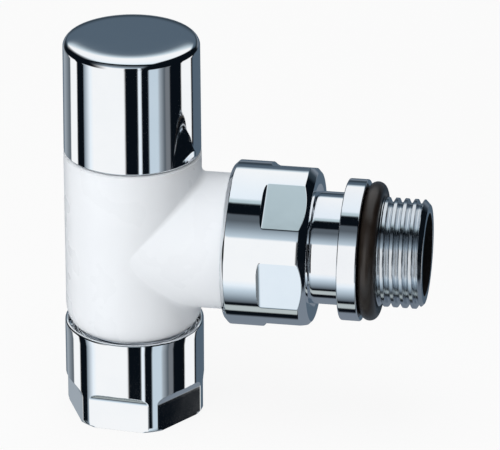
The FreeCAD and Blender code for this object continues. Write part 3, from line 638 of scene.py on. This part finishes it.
@dataclass
class ValveBody:
    """Enamelled angle body with its plated threads, and the headwork inside it."""

    shop: Workshop
    thread_wall: float = 0.6  # under the threads' roots
    union_pitch: float = 1.814
    foot_pitch: float = 1.5
    foot_thread: float = 11.0
    foot: float = -17.6  # height of the foot face
    foot_edge: float = 11.3
    foot_start: float = -13.4  # where the round down to it starts
    foot_steps: int = 14  # steps down the round
    barrel: float = 13.2
    branch_thread: float = 13.22
    branch_face: float = 19.0  # place of its shoulder
    lead: float = 0.6  # chamfer at the threads' ends
    pitch_steps: int = 14  # faces to a pitch
    turn_steps: int = 240

    def build(self) -> None:
        """Make the enamelled body and the two thread rings."""
        low, high = self.shop.box("valve_body")
        branch = Thread(self.branch_thread, self.union_pitch, self.branch_face, high.x,
                        self.union_pitch / 2.0)
        foot = Thread(self.foot_thread, self.foot_pitch, -self.foot, -low.z, self.foot_pitch / 2.0)
        self._enamel(branch, foot)
        self._thread_ring("branch_thread", Axis.TAIL, branch, 1.0)
        self._thread_ring("foot_thread", Axis.UPRIGHT, foot, -1.0)

    def _enamel(self, branch: Thread, foot: Thread) -> None:
        """Make the body's skin, with room under the thread rings.

        Args:
            branch: The branch's thread.
            foot: The foot's thread, along the downward axis.
        """
        mesh = bmesh.new()
        mesh.from_mesh(self.shop.nodes["valve_body"].data)
        about = Matrix.Scale(1.0 / MM, 4) @ Matrix.Translation(UP * -self.shop.lift)
        bmesh.ops.transform(mesh, matrix=about, verts=mesh.verts)
        bmesh.ops.remove_doubles(mesh, verts=mesh.verts, dist=WELD)

        drop, inset = self.foot_start - self.foot, self.barrel - self.foot_edge
        for step in range(self.foot_steps):
            height = self.foot_start - drop * math.sin(step / self.foot_steps * math.pi / 2.0)
            bmesh.ops.bisect_plane(mesh, geom=[*mesh.verts, *mesh.edges, *mesh.faces], dist=WELD,
                                   plane_co=UP * height, plane_no=UP)

        def inside(out: float, along: float) -> bool:
            """Say whether a point lies on the round to the foot."""
            return out >= self.foot_edge and self.foot_start > along > self.foot - WELD

        def round_foot(out: float, along: float, angle: float) -> float:
            """Round the barrel in to its foot."""
            bulge = inset * math.sqrt(max(0.0, 1.0 - ((self.foot_start - along) / drop) ** 2))
            return min(out, self.foot_edge + bulge) if inside(out, along) else out

        def under_branch(out: float, along: float, angle: float) -> float:
            """Sink the branch's thread face under its ring."""
            start = branch.start - math.copysign(WELD, out - branch.crest + WELD)
            return self._sunk(branch, out) if along > start and out > branch.crest - self.lead - WELD else out

        def under_foot(out: float, along: float, angle: float) -> float:
            """Sink the foot's thread face under its ring."""
            covered = foot.crest + WELD > out > foot.crest - self.lead - WELD
            return self._sunk(foot, out) if covered and -along > foot.start - WELD else out

        self.shop.reshape(mesh, Axis.UPRIGHT, round_foot)
        self.shop.reshape(mesh, Axis.TAIL, under_branch)
        self.shop.reshape(mesh, Axis.UPRIGHT, under_foot)
        self.shop.soften(mesh)
        self.shop.even_shading(self.shop.piece("enamel_body", mesh, Slot.ENAMEL, "valve_body", "valve_body"))

    def _sunk(self, thread: Thread, out: float) -> float:
        """Give the distance out that is left to the body under a thread ring."""
        return min(out, thread.crest - thread.depth - self.thread_wall / 2.0)

    def _thread_ring(self, name: str, axis: Axis, thread: Thread, sign: float) -> None:
        """Make one plated thread ring.

        Args:
            name: The piece's name.
            axis: The thread's axis.
            thread: The thread, with its places along the thread's own outward way.
            sign: 1 where the outward way is the axis's own direction, or -1.
        """
        inner = thread.crest - thread.depth - self.thread_wall
        outline = [
            Corner(inner, sign * thread.start),
            Corner(thread.crest, sign * thread.start),
            Corner(thread.crest, sign * (thread.end - self.lead)),
            Corner(thread.crest - self.lead, sign * thread.end),
            Corner(inner, sign * thread.end),
        ]
        ends = sorted((sign * thread.start, sign * thread.end))
        fine = Stretch(ends[0], ends[1], thread.pitch / self.pitch_steps, thread.crest - self.lead - WELD)
        mesh = self.shop.turned(axis, outline, self.turn_steps, [fine])
        self.shop.reshape(mesh, axis, lambda out, along, angle: thread.cut(out, sign * along, -sign * angle))
        self.shop.soften(mesh)
        self.shop.piece(name, mesh, Slot.TAIL, "valve_body", "valve_body")

    def dress(self) -> None:
        """Give the headwork inside the body its finishes."""
        self.shop.dress(Slot.BRASS, "bonnet", "gland_nut")
        self.shop.dress(Slot.RUBBER, "bonnet_seal", "stem_seal_lower", "stem_seal_upper")
        self.shop.dress(Slot.WASHER, "thrust_washer")


@dataclass
class Handwheel:
    """Chromed turning cap and what turns with it."""

    shop: Workshop
    draft: float = 0.15  # narrowing to the top
    crown: float = 0.65  # rise of the crowned top
    crown_power: float = 10.0  # how late it falls away
    wall: float = 1.45  # at the top
    roof: float = 2.2  # at its edge
    top_round: float = 1.0
    mouth_round: float = 0.25
    top_step: float = 0.3
    side_step: float = 2.0
    turn_steps: int = 288

    def build(self) -> None:
        """Make the cap."""
        low, high = self.shop.box("handwheel_cap")
        mouth = high.x
        top = mouth - self.draft
        inner = top - self.wall
        edge = high.z - self.crown
        outline = [
            Corner(0.0, edge - self.roof),
            Corner(inner, edge - self.roof, 0.5),
            Corner(inner, low.z, 0.2, 3),
            Corner(mouth, low.z, self.mouth_round, 5),
            Corner(top, edge, self.top_round, 12),
            Corner(0.0, edge),
        ]
        fine = [Stretch(edge, edge, self.top_step), Stretch(low.z, edge, self.side_step, inner + WELD)]
        mesh = self.shop.turned(Axis.UPRIGHT, outline, self.turn_steps, fine)
        for vert in mesh.verts:
            out, along, _ = Axis.UPRIGHT.polar(vert.co)
            share = (along - edge + self.top_round) / self.top_round
            if share > 0.0 and out < top + WELD:
                vert.co.z += share * self.crown * (1.0 - (out / top) ** self.crown_power)
        self.shop.soften(mesh)
        self.shop.even_shading(self.shop.piece("cap", mesh, Slot.CHROME, "handwheel", "handwheel_cap"))

    def dress(self) -> None:
        """Give the hub, screw, stem and clip their finishes."""
        self.shop.dress(Slot.HUB, "handwheel_hub")
        self.shop.dress(Slot.BRASS, "stem")
        self.shop.dress(Slot.STEEL, "handwheel_screw", "stem_circlip")


@dataclass
class DiscSet:
    """The carrier and disc that the stem lifts."""

    shop: Workshop

    def dress(self) -> None:
        """Give the carrier, disc, plate and screw their finishes."""
        self.shop.dress(Slot.BRASS, "disc_carrier")
        self.shop.dress(Slot.RUBBER, "valve_disc")
        self.shop.dress(Slot.STEEL, "disc_plate", "disc_screw")


@dataclass
class UnionNut:
    """Chromed union nut on the branch."""

    shop: Workshop
    radius: float = 15.8
    bore: float = 13.28  # over the branch's thread
    lip: float = 10.9
    lip_depth: float = 3.95
    flare: float = 1.2  # chamfer of the lip's mouth
    near_edge: float = 0.9  # chamfer at the body's side
    far_edge: float = 1.5  # chamfer at the tail's side
    flats_run: float = 8.4
    flats: float = 30.0  # across flats
    corner: float = 0.8  # the cutter's corner
    turn: float = -6.8  # angle of one flat's normal
    break_edge: float = 0.12  # small rounds
    support: float = 0.06  # ring of faces that steadies the shading
    face_step: float = 0.8
    edge_step: float = 0.12  # along the far chamfer
    corner_steps: int = 18  # faces along a run-out
    turn_steps: int = 720

    def build(self) -> None:
        """Make the nut."""
        low, high = self.shop.box("union_nut")
        start = high.x - self.flats_run
        broken = self.break_edge
        outline = [
            Corner(self.bore, low.x, 0.3, 2),
            Corner(self.radius - self.near_edge, low.x, broken, 3),
            Corner(self.radius, low.x + self.near_edge, broken, 3),
            Corner(self.radius, start - self.corner - self.support),
            Corner(self.radius, start - self.corner),
            Corner(self.radius, start),
            Corner(self.radius, high.x - self.far_edge, broken, 3),
            Corner(self.radius - self.far_edge, high.x, broken, 3),
            Corner(self.lip + self.flare, high.x, broken, 2),
            Corner(self.lip, high.x - self.flare, broken, 2),
            Corner(self.lip, high.x - self.lip_depth),
            Corner(self.bore, high.x - self.lip_depth),
        ]
        outside = self.radius - self.far_edge - WELD
        fine = [
            Stretch(start - self.corner, start, self.corner / self.corner_steps, outside),
            Stretch(start, high.x - self.far_edge, self.face_step, outside),
            Stretch(high.x - self.far_edge, high.x, self.edge_step, outside),
            Stretch(low.x, start - self.corner - self.support, self.face_step, outside),
        ]
        mesh = self.shop.turned(Axis.TAIL, outline, self.turn_steps, fine)
        self.shop.soften(mesh)
        flats = Flats(self.flats, start, 1.0, self.corner, self.turn)
        self.shop.reshape(mesh, Axis.TAIL, flats.limit)
        item = self.shop.piece("union_nut_shell", mesh, Slot.CHROME, "union_nut", "union_nut")
        self.shop.even_shading(item)


@dataclass
class Tail:
    """Chromed tail with its collar, radiator thread and rings."""

    shop: Workshop
    spigot: float = 10.17
    spigot_run: float = 4.4
    seal_groove: Triple = (8.67, 2.3, 0.78)  # its floor, its place from the start and its half width
    tube: float = 10.8
    ring_groove: Triple = (9.97, 7.05, 0.83)  # the same
    collar: float = 13.6
    collar_width: float = 3.8
    collar_from_end: float = 15.76  # its inner face from the tail's end
    neck: float = 10.0  # under the O-ring
    thread: float = 10.4775
    thread_run: float = 8.6
    pitch: float = 1.814
    worn: float = 0.28  # share of the depth taken off its crests
    lead: float = 1.0  # chamfer at the thread's end
    entry: float = 7.4  # bore at the spigot
    key: float = 12.5  # across its hexagon
    key_start: float = 8.3  # from the tail's start
    key_run: float = 8.0
    bore: float = 7.95
    bore_margin: float = 0.05  # how near the bore a face counts as part of it
    seal_wire: float = 1.65  # the O-ring's section
    seal_ring: float = 11.68  # its middle line
    seal_steps: int = 40  # faces round its section
    pitch_steps: int = 22  # faces to a pitch
    turn_steps: int = 360

    def build(self) -> None:
        """Make the tail and its O-ring."""
        self._tail()
        self._seal()

    def _tail(self) -> None:
        """Make the tail with its thread and key socket."""
        low, high = self.shop.box("tailpiece")
        start, end = low.x, high.x
        collar_start = end - self.collar_from_end
        collar_end = collar_start + self.collar_width
        thread_start = end - self.thread_run
        key_start = start + self.key_start
        key_end = key_start + self.key_run
        outline = [
            Corner(self.entry, start, 0.3, 2),
            Corner(self.spigot, start, 0.3, 2),
            *self._groove(self.spigot, start, self.seal_groove),
            Corner(self.spigot, start + self.spigot_run),
            Corner(self.tube, start + self.spigot_run),
            *self._groove(self.tube, start, self.ring_groove),
            Corner(self.tube, collar_start, 0.15, 3),
            Corner(self.collar, collar_start, 0.3, 5),
            Corner(self.collar, collar_end, 0.3, 5),
            Corner(self.neck, collar_end),
            Corner(self.neck, thread_start),
            Corner(self.thread, thread_start),
            Corner(self.thread, end - self.lead),
            Corner(self.thread - self.lead, end, 0.1, 2),
            Corner(self.bore, end, 0.15, 3),
            Corner(self.bore, key_end),
            Corner(self.key / 2.0, key_end),
            Corner(self.key / 2.0, key_start),
            Corner(self.entry, key_start),
        ]
        fine = [Stretch(thread_start, end, self.pitch / self.pitch_steps, self.thread - self.lead - WELD)]
        mesh = self.shop.turned(Axis.TAIL, outline, self.turn_steps, fine)
        self.shop.soften(mesh)
        thread = Thread(self.thread, self.pitch, thread_start, end, self.pitch / 3.0, self.worn)
        self.shop.reshape(mesh, Axis.TAIL, thread.cut)
        side = FULL_TURN / HEX_SIDES

        def key_socket(out: float, along: float, angle: float) -> float:
            """Open the key's round stretch to its hexagon."""
            lean = angle % side - side / 2.0
            return out if abs(out - self.key / 2.0) > WELD else out / math.cos(lean)

        self.shop.reshape(mesh, Axis.TAIL, key_socket)
        item = self.shop.piece("tail", mesh, Slot.TAIL, "tailpiece", "tailpiece")
        self.shop.even_shading(item)
        # The bore's faces take the near-black painted shade, and the thread's faces a satin chrome.
        for finish in (BORE_PAINTED_SHADE, THREAD_CHROME):
            item.data.materials.append(finish.make(self.shop.effects))
        for face in item.data.polygons:
            out, along, _ = Axis.TAIL.polar((face.center - UP * self.shop.lift) / MM)
            if out < self.bore + self.bore_margin and along < end - self.bore_margin:
                face.material_index = 1
            elif along > thread_start + WELD:
                face.material_index = 2

    @staticmethod
    def _groove(radius: float, start: float, groove: Triple) -> list[Corner]:
        """Give the corners of a square groove.

        Args:
            radius: Radius of the face that it is cut in.
            start: The tail's start.
            groove: Its floor's radius, its place from the start and its half width.

        Returns:
            Four corners in order.
        """
        floor, place, half = groove
        near, far = start + place - half, start + place + half
        return [Corner(radius, near), Corner(floor, near), Corner(floor, far), Corner(radius, far)]

    def _seal(self) -> None:
        """Make the O-ring under the collar."""
        low, high = self.shop.box("radiator_seal")
        mesh = bmesh.new()
        middle = Axis.TAIL.place(self.seal_ring, (low.x + high.x) / 2.0)
        bmesh.ops.create_circle(mesh, cap_ends=False, segments=self.seal_steps, radius=self.seal_wire,
                                matrix=Matrix.Translation(middle))
        self.shop.spin(mesh, Axis.TAIL, self.turn_steps // 2)
        self.shop.soften(mesh)
        self.shop.piece("collar_o_ring", mesh, Slot.RUBBER, "tailpiece", "radiator_seal")

    def dress(self) -> None:
        """Give the split ring and the spigot's seal their finishes."""
        self.shop.dress(Slot.STEEL, "nut_retaining_ring")
        self.shop.dress(Slot.RUBBER, "union_seal")


@dataclass
class PipeJoint:
    """Chromed compression nut at the foot, and the olive inside it."""

    shop: Workshop
    radius: float = 13.45
    rim_height: float = 1.1  # over the dish
    rim_wall: float = 0.55  # at its top
    dish: float = 11.95
    thread_bore: float = 11.06  # over the foot's thread
    thread_depth: float = 10.15  # its end from the rim's top
    cone: float = 9.9
    cone_depth: float = 12.45  # its mouth from the rim's top
    bore: float = 7.8
    bore_run: float = 4.4
    top_edge: float = 0.4
    low_edge: float = 0.4  # chamfer
    flats: float = 24.2  # across flats
    flats_run: float = 5.8
    corner: float = 2.0  # the cutter's corner
    turn: float = 25.3  # angle of one flat's normal
    flat_step: float = 0.7
    side_step: float = 1.5
    corner_steps: int = 22  # faces along a run-out
    turn_steps: int = 720

    def build(self) -> None:
        """Make the nut."""
        low, high = self.shop.box("pipe_nut")
        start = low.z + self.flats_run
        outline = [
            Corner(self.thread_bore, high.z - self.rim_height, 0.2, 2),
            Corner(self.dish, high.z - self.rim_height),
            Corner(self.radius - self.rim_wall, high.z, 0.1, 2),
            Corner(self.radius, high.z, self.top_edge, 6),
            Corner(self.radius, start + self.corner),
            Corner(self.radius, start),
            Corner(self.radius, low.z + self.low_edge, 0.1, 2),
            Corner(self.radius - self.low_edge, low.z, 0.1, 2),
            Corner(self.bore, low.z, 0.3, 2),
            Corner(self.bore, low.z + self.bore_run),
            Corner(self.cone, high.z - self.cone_depth),
            Corner(self.cone, high.z - self.thread_depth),
            Corner(self.thread_bore, high.z - self.thread_depth),
        ]
        outside = self.radius - self.low_edge - WELD
        fine = [
            Stretch(start, start + self.corner, self.corner / self.corner_steps, outside),
            Stretch(low.z, start, self.flat_step, outside),
            Stretch(start + self.corner, high.z, self.side_step, outside),
        ]
        mesh = self.shop.turned(Axis.UPRIGHT, outline, self.turn_steps, fine)
        self.shop.soften(mesh)
        flats = Flats(self.flats, start, -1.0, self.corner, self.turn)
        self.shop.reshape(mesh, Axis.UPRIGHT, flats.limit)
        self.shop.even_shading(self.shop.piece("pipe_nut_shell", mesh, Slot.CHROME, "pipe_nut", "pipe_nut"))

    def dress(self) -> None:
        """Give the olive its finish."""
        self.shop.dress(Slot.BRASS, "olive")


@dataclass(frozen=True)
class Band:
    """A band of the studio's surroundings, as the polished parts see it."""

    start: float  # in degrees
    end: float  # in degrees
    first: Colour  # its colour at the start
    last: Colour | None = None  # its colour at the end, where that is another one


WHITE = (1.0, 1.0, 1.0)
COOL_WHITE = (0.87, 0.94, 1.0)
BLACK = (0.003, 0.005, 0.008)
SLATE = (0.092, 0.13, 0.172)
MID_SLATE = (0.2, 0.235, 0.28)
PALE_SLATE = (0.36, 0.405, 0.45)
STEEL_BLUE = (0.24, 0.29, 0.335)
PALE_BLUE = (0.58, 0.68, 0.76)
DARK_GREY = (0.1, 0.12, 0.14)
WARM_GREY = (0.18, 0.195, 0.215)
LIGHT_BLUE = (0.66, 0.75, 0.81)
SOFT_BLUE = (0.44, 0.53, 0.59)
DEEP_SLATE = (0.035, 0.052, 0.068)
SAND = (0.49, 0.54, 0.54)
TEAL = (0.52, 0.63, 0.67)

# Round the horizon, from the camera's own direction and to its right.
ROUND_BANDS = (
    Band(-180, -165, SLATE), Band(-150, -124, PALE_SLATE, DARK_GREY),
    Band(-121, -104, WHITE), Band(-102, -87, BLACK),
    Band(-85.5, -73, STEEL_BLUE, COOL_WHITE), Band(-66, -11.5, WHITE),
    Band(-9, 11, BLACK), Band(12.3, 16.5, COOL_WHITE),
    Band(18, 29, BLACK), Band(30.5, 45, PALE_BLUE),
    Band(49, 57.5, PALE_SLATE, DARK_GREY), Band(60.5, 67, WARM_GREY),
    Band(69, 92, BLACK), Band(93.4, 118.5, WHITE),
    Band(120.5, 123.5, BLACK), Band(126, 180, SLATE),
)

# Over the top and round underneath, from the horizon in front.
OVER_BANDS = (
    Band(-180, -101, MID_SLATE), Band(-96, -87, BLACK),
    Band(-85, -75, SAND), Band(-73.5, -69, BLACK),
    Band(-67, -60, DARK_GREY, STEEL_BLUE), Band(-46, -38, PALE_BLUE, COOL_WHITE),
    Band(-30, 20, WHITE), Band(30, 44, PALE_BLUE, STEEL_BLUE),
    Band(53, 61.5, DARK_GREY), Band(63, 78.3, BLACK),
    Band(80.3, 83.3, TEAL), Band(87, 147, COOL_WHITE, WHITE),
    Band(149.5, 151.5, LIGHT_BLUE, SOFT_BLUE), Band(153, 155, STEEL_BLUE, SLATE),
    Band(160.5, 168.5, SLATE, DEEP_SLATE), Band(172, 180, DEEP_SLATE, MID_SLATE),
)


@dataclass(frozen=True)
class Lamp:
    """A soft lamp, with its power in watts."""

    name: str
    bearing: float  # degrees to the right of the camera
    height: float  # degrees up
    power: float


LAMPS = (
    Lamp("key_lamp", -36.0, 4.0, 3.25),
    Lamp("top_lamp", 0.0, 80.0, 1.8),
    Lamp("back_lamp", 165.0, 30.0, 0.7),
)


@dataclass
class Studio:
    """Camera, floor, lamps and surroundings."""

    lift: float  # height of the crossing over the frame's origin, in metres
    azimuth: float = 9.308  # camera's turn to the right, in degrees
    elevation: float = 24.884  # camera's height angle, in degrees
    # camera's place about the crossing, in millimetres
    stand: Vector = field(default_factory=lambda: Vector((147.597, -762.009, 361.82)))
    focal: float = 4447.86  # in pixels
    image_width: float = 500.0  # in pixels
    sensor: float = 36.0  # width, in millimetres
    soft_level: float = 0.17  # level of the plain light from all round
    lamp_distance: float = 0.6  # in metres
    lamp_size: float = 0.45  # in metres
    # height angles where the bands round the horizon give way to those over the top
    band_edges: Pair = (28.0, 32.0)
    back_edges: Pair = (-7.0, -1.0)  # the same behind the valve
    back_turn: Pair = (-0.35, -0.05)  # where that back starts, as shares of the distance
    panel_turn: float = 79.0  # bearing across which the high panels end
    panel_left: Pair = (-0.82, -0.42)  # where they end at the left, as shares of the distance
    panel_right: Pair = (0.38, 0.55)  # where they end at the right
    panel_foot: Pair = (-12.0, -3.0)  # height angles where the dark ends beside them start
    floor_reach: float = 4.0  # half side of the floor, in metres
    floor_colour: Colour = (0.86, 0.86, 0.86)
    floor_glow: float = 0.9  # share of plain white that the camera sees

    def build(self, floor_height: float) -> None:
        """Set up the camera, floor, lamps and surroundings.

        Args:
            floor_height: Height of the floor, in metres.
        """
        self._camera()
        self._floor(floor_height)
        for lamp in LAMPS:
            self._hang(lamp)
        self._surroundings()
        bpy.context.scene.view_settings.view_transform = "Standard"

    def _camera(self) -> None:
        """Place the camera at the photograph's viewpoint."""
        data = bpy.data.cameras.new("camera")
        data.sensor_width = self.sensor
        data.lens = self.focal * self.sensor / self.image_width
        data.clip_start = 0.01
        camera = add_object("camera", data)
        camera.location = self.stand * MM + UP * self.lift
        camera.rotation_euler = (math.radians(90.0 - self.elevation), 0.0, math.radians(self.azimuth))
        bpy.context.scene.camera = camera

    def _floor(self, height: float) -> None:
        """Lay the pale floor, which polished parts don't mirror.

        Args:
            height: The floor's height, in metres.
        """
        mesh = bmesh.new()
        bmesh.ops.create_grid(mesh, x_segments=1, y_segments=1, size=self.floor_reach,
                              matrix=Matrix.Translation(UP * height))
        data = bpy.data.meshes.new("floor")
        mesh.to_mesh(data)
        mesh.free()
        material = bpy.data.materials.new("pale_floor")
        material.use_nodes = True
        wiring = Wiring(material.node_tree)
        matt = wiring.add("ShaderNodeBsdfDiffuse", {"Color": (*self.floor_colour, 1.0)})
        glow = wiring.add("ShaderNodeEmission", {"Color": (*WHITE, 1.0)})
        seen = wiring.maths("MULTIPLY", wiring.add("ShaderNodeLightPath").outputs["Is Camera Ray"],
                            self.floor_glow)
        mixed = wiring.add("ShaderNodeMixShader", {0: seen, 1: matt.outputs[0], 2: glow.outputs[0]})
        wiring.add("ShaderNodeOutputMaterial", {"Surface": mixed.outputs[0]})
        data.materials.append(material)
        floor = add_object("floor", data)
        floor.visible_glossy = False
        floor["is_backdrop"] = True

    def _heading(self, bearing: float) -> Vector:
        """Give the level direction at a bearing to the right of the camera's own."""
        turn = math.radians(self.azimuth + bearing)
        return Vector((math.sin(turn), -math.cos(turn), 0.0))

    def _hang(self, lamp: Lamp) -> None:
        """Hang a square soft lamp that shines on the crossing.

        Args:
            lamp: The lamp's name, place and power.
        """
        data = bpy.data.lights.new(lamp.name, "AREA")
        data.size = self.lamp_size
        data.energy = lamp.power
        rise = math.radians(lamp.height)
        way = self._heading(lamp.bearing) * math.cos(rise) + UP * math.sin(rise)
        item = add_object(lamp.name, data)
        item.location = way * self.lamp_distance + UP * self.lift
        item.rotation_euler = way.to_track_quat("Z", "Y").to_euler()
        item.visible_glossy = False

    def _surroundings(self) -> None:
        """Make the surroundings: plain soft light, and dark and light panels for polished parts."""
        world = bpy.data.worlds.new("studio")
        bpy.context.scene.world = world
        world.use_nodes = True
        wiring = Wiring(world.node_tree)
        way = wiring.add("ShaderNodeTexCoord").outputs["Generated"]
        ahead = self._along(wiring, way, self._heading(0.0))
        aside = self._along(wiring, way, self._heading(90.0))
        mirrored = self._along(wiring, way, self._heading(-2.0 * self.azimuth))
        up = self._along(wiring, way, UP)
        round_turn = wiring.maths("ARCTAN2", aside, ahead)
        over_turn = wiring.maths("ARCTAN2", up, mirrored)
        behind = wiring.spread(ahead, *self.back_turn, 1.0, 0.0)
        back = wiring.maths("MULTIPLY", behind, self._beyond(wiring, up, self.back_edges))
        steep = self._beyond(wiring, wiring.maths("ABSOLUTE", up), self.band_edges)
        high = wiring.maths("MAXIMUM", steep, back)
        bands = wiring.blend(high, self._ramp(wiring, round_turn, ROUND_BANDS),
                             self._ramp(wiring, over_turn, OVER_BANDS))
        across = self._along(wiring, way, self._heading(self.panel_turn))
        past_ends = wiring.maths("MAXIMUM", wiring.spread(across, *self.panel_left, 1.0, 0.0),
                                 wiring.spread(across, *self.panel_right, 0.0, 1.0))
        dark = wiring.maths("MULTIPLY", past_ends, self._beyond(wiring, up, self.panel_foot))
        panels = wiring.blend(dark, bands, (*BLACK, 1.0))
        path = wiring.add("ShaderNodeLightPath").outputs
        level = (self.soft_level, self.soft_level, self.soft_level, 1.0)
        lit = wiring.blend(path["Is Glossy Ray"], level, panels)
        seen = wiring.blend(path["Is Camera Ray"], lit, (*WHITE, 1.0))
        background = wiring.add("ShaderNodeBackground", {"Color": seen, "Strength": 1.0})
        wiring.add("ShaderNodeOutputWorld", {"Surface": background.outputs[0]})

    @staticmethod
    def _along(wiring: Wiring, way: Socket, heading: Vector) -> Socket:
        """Give how far a direction goes along a heading."""
        node = wiring.add("ShaderNodeVectorMath", {0: way, 1: tuple(heading)}, operation="DOT_PRODUCT")
        return node.outputs["Value"]

    @staticmethod
    def _beyond(wiring: Wiring, up: Socket, edges: Pair) -> Socket:
        """Say how far a direction is past a pair of height angles, from 0 to 1."""
        low, high = (math.sin(math.radians(edge)) for edge in edges)
        return wiring.spread(up, low, high, 0.0, 1.0)

    @staticmethod
    def _ramp(wiring: Wiring, turn: Socket, bands: Iterable[Band]) -> Socket:
        """Lay bands round a full turn.

        Args:
            wiring: The world's wiring.
            turn: The angle in radians, from minus to plus half a turn.
            bands: The bands in order.

        Returns:
            The colour's socket.
        """
        share = wiring.add("ShaderNodeMapRange", {"Value": turn, "From Min": -math.pi, "From Max": math.pi})
        ramp = wiring.add("ShaderNodeValToRGB", {"Fac": share.outputs["Result"]})
        stops = [(place / 360.0 + 0.5, colour) for band in bands
                 for place, colour in ((band.start, band.first), (band.end, band.last or band.first))]
        elements = ramp.color_ramp.elements
        elements[0].color, elements[1].color = (*stops[0][1], 1.0), (*stops[-1][1], 1.0)
        for place, colour in stops[1:-1]:
            elements.new(place).color = (*colour, 1.0)
        return ramp.outputs["Color"]


def main() -> None:
    """Build the valve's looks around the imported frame."""
    logging.basicConfig(level=logging.INFO, format="%(name)s: %(message)s")
    for item in list(bpy.data.objects):
        bpy.data.objects.remove(item)
    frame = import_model()
    cad_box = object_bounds()
    mounts = {mount["name"]: mount for mount in frame["record"]["mounts"]}
    lift = mounts["radiator_thread"]["pos_m"][2]
    shop = Workshop(lift, frame["nodes"])
    body, handwheel, tail, joint = ValveBody(shop), Handwheel(shop), Tail(shop), PipeJoint(shop)
    for sub_assembly in (body, handwheel, UnionNut(shop), tail, joint):
        sub_assembly.build()
    for sub_assembly in (body, handwheel, DiscSet(shop), tail, joint):
        sub_assembly.dress()
    Studio(lift).build(cad_box[0][2])


if __name__ == "__main__":
    main()
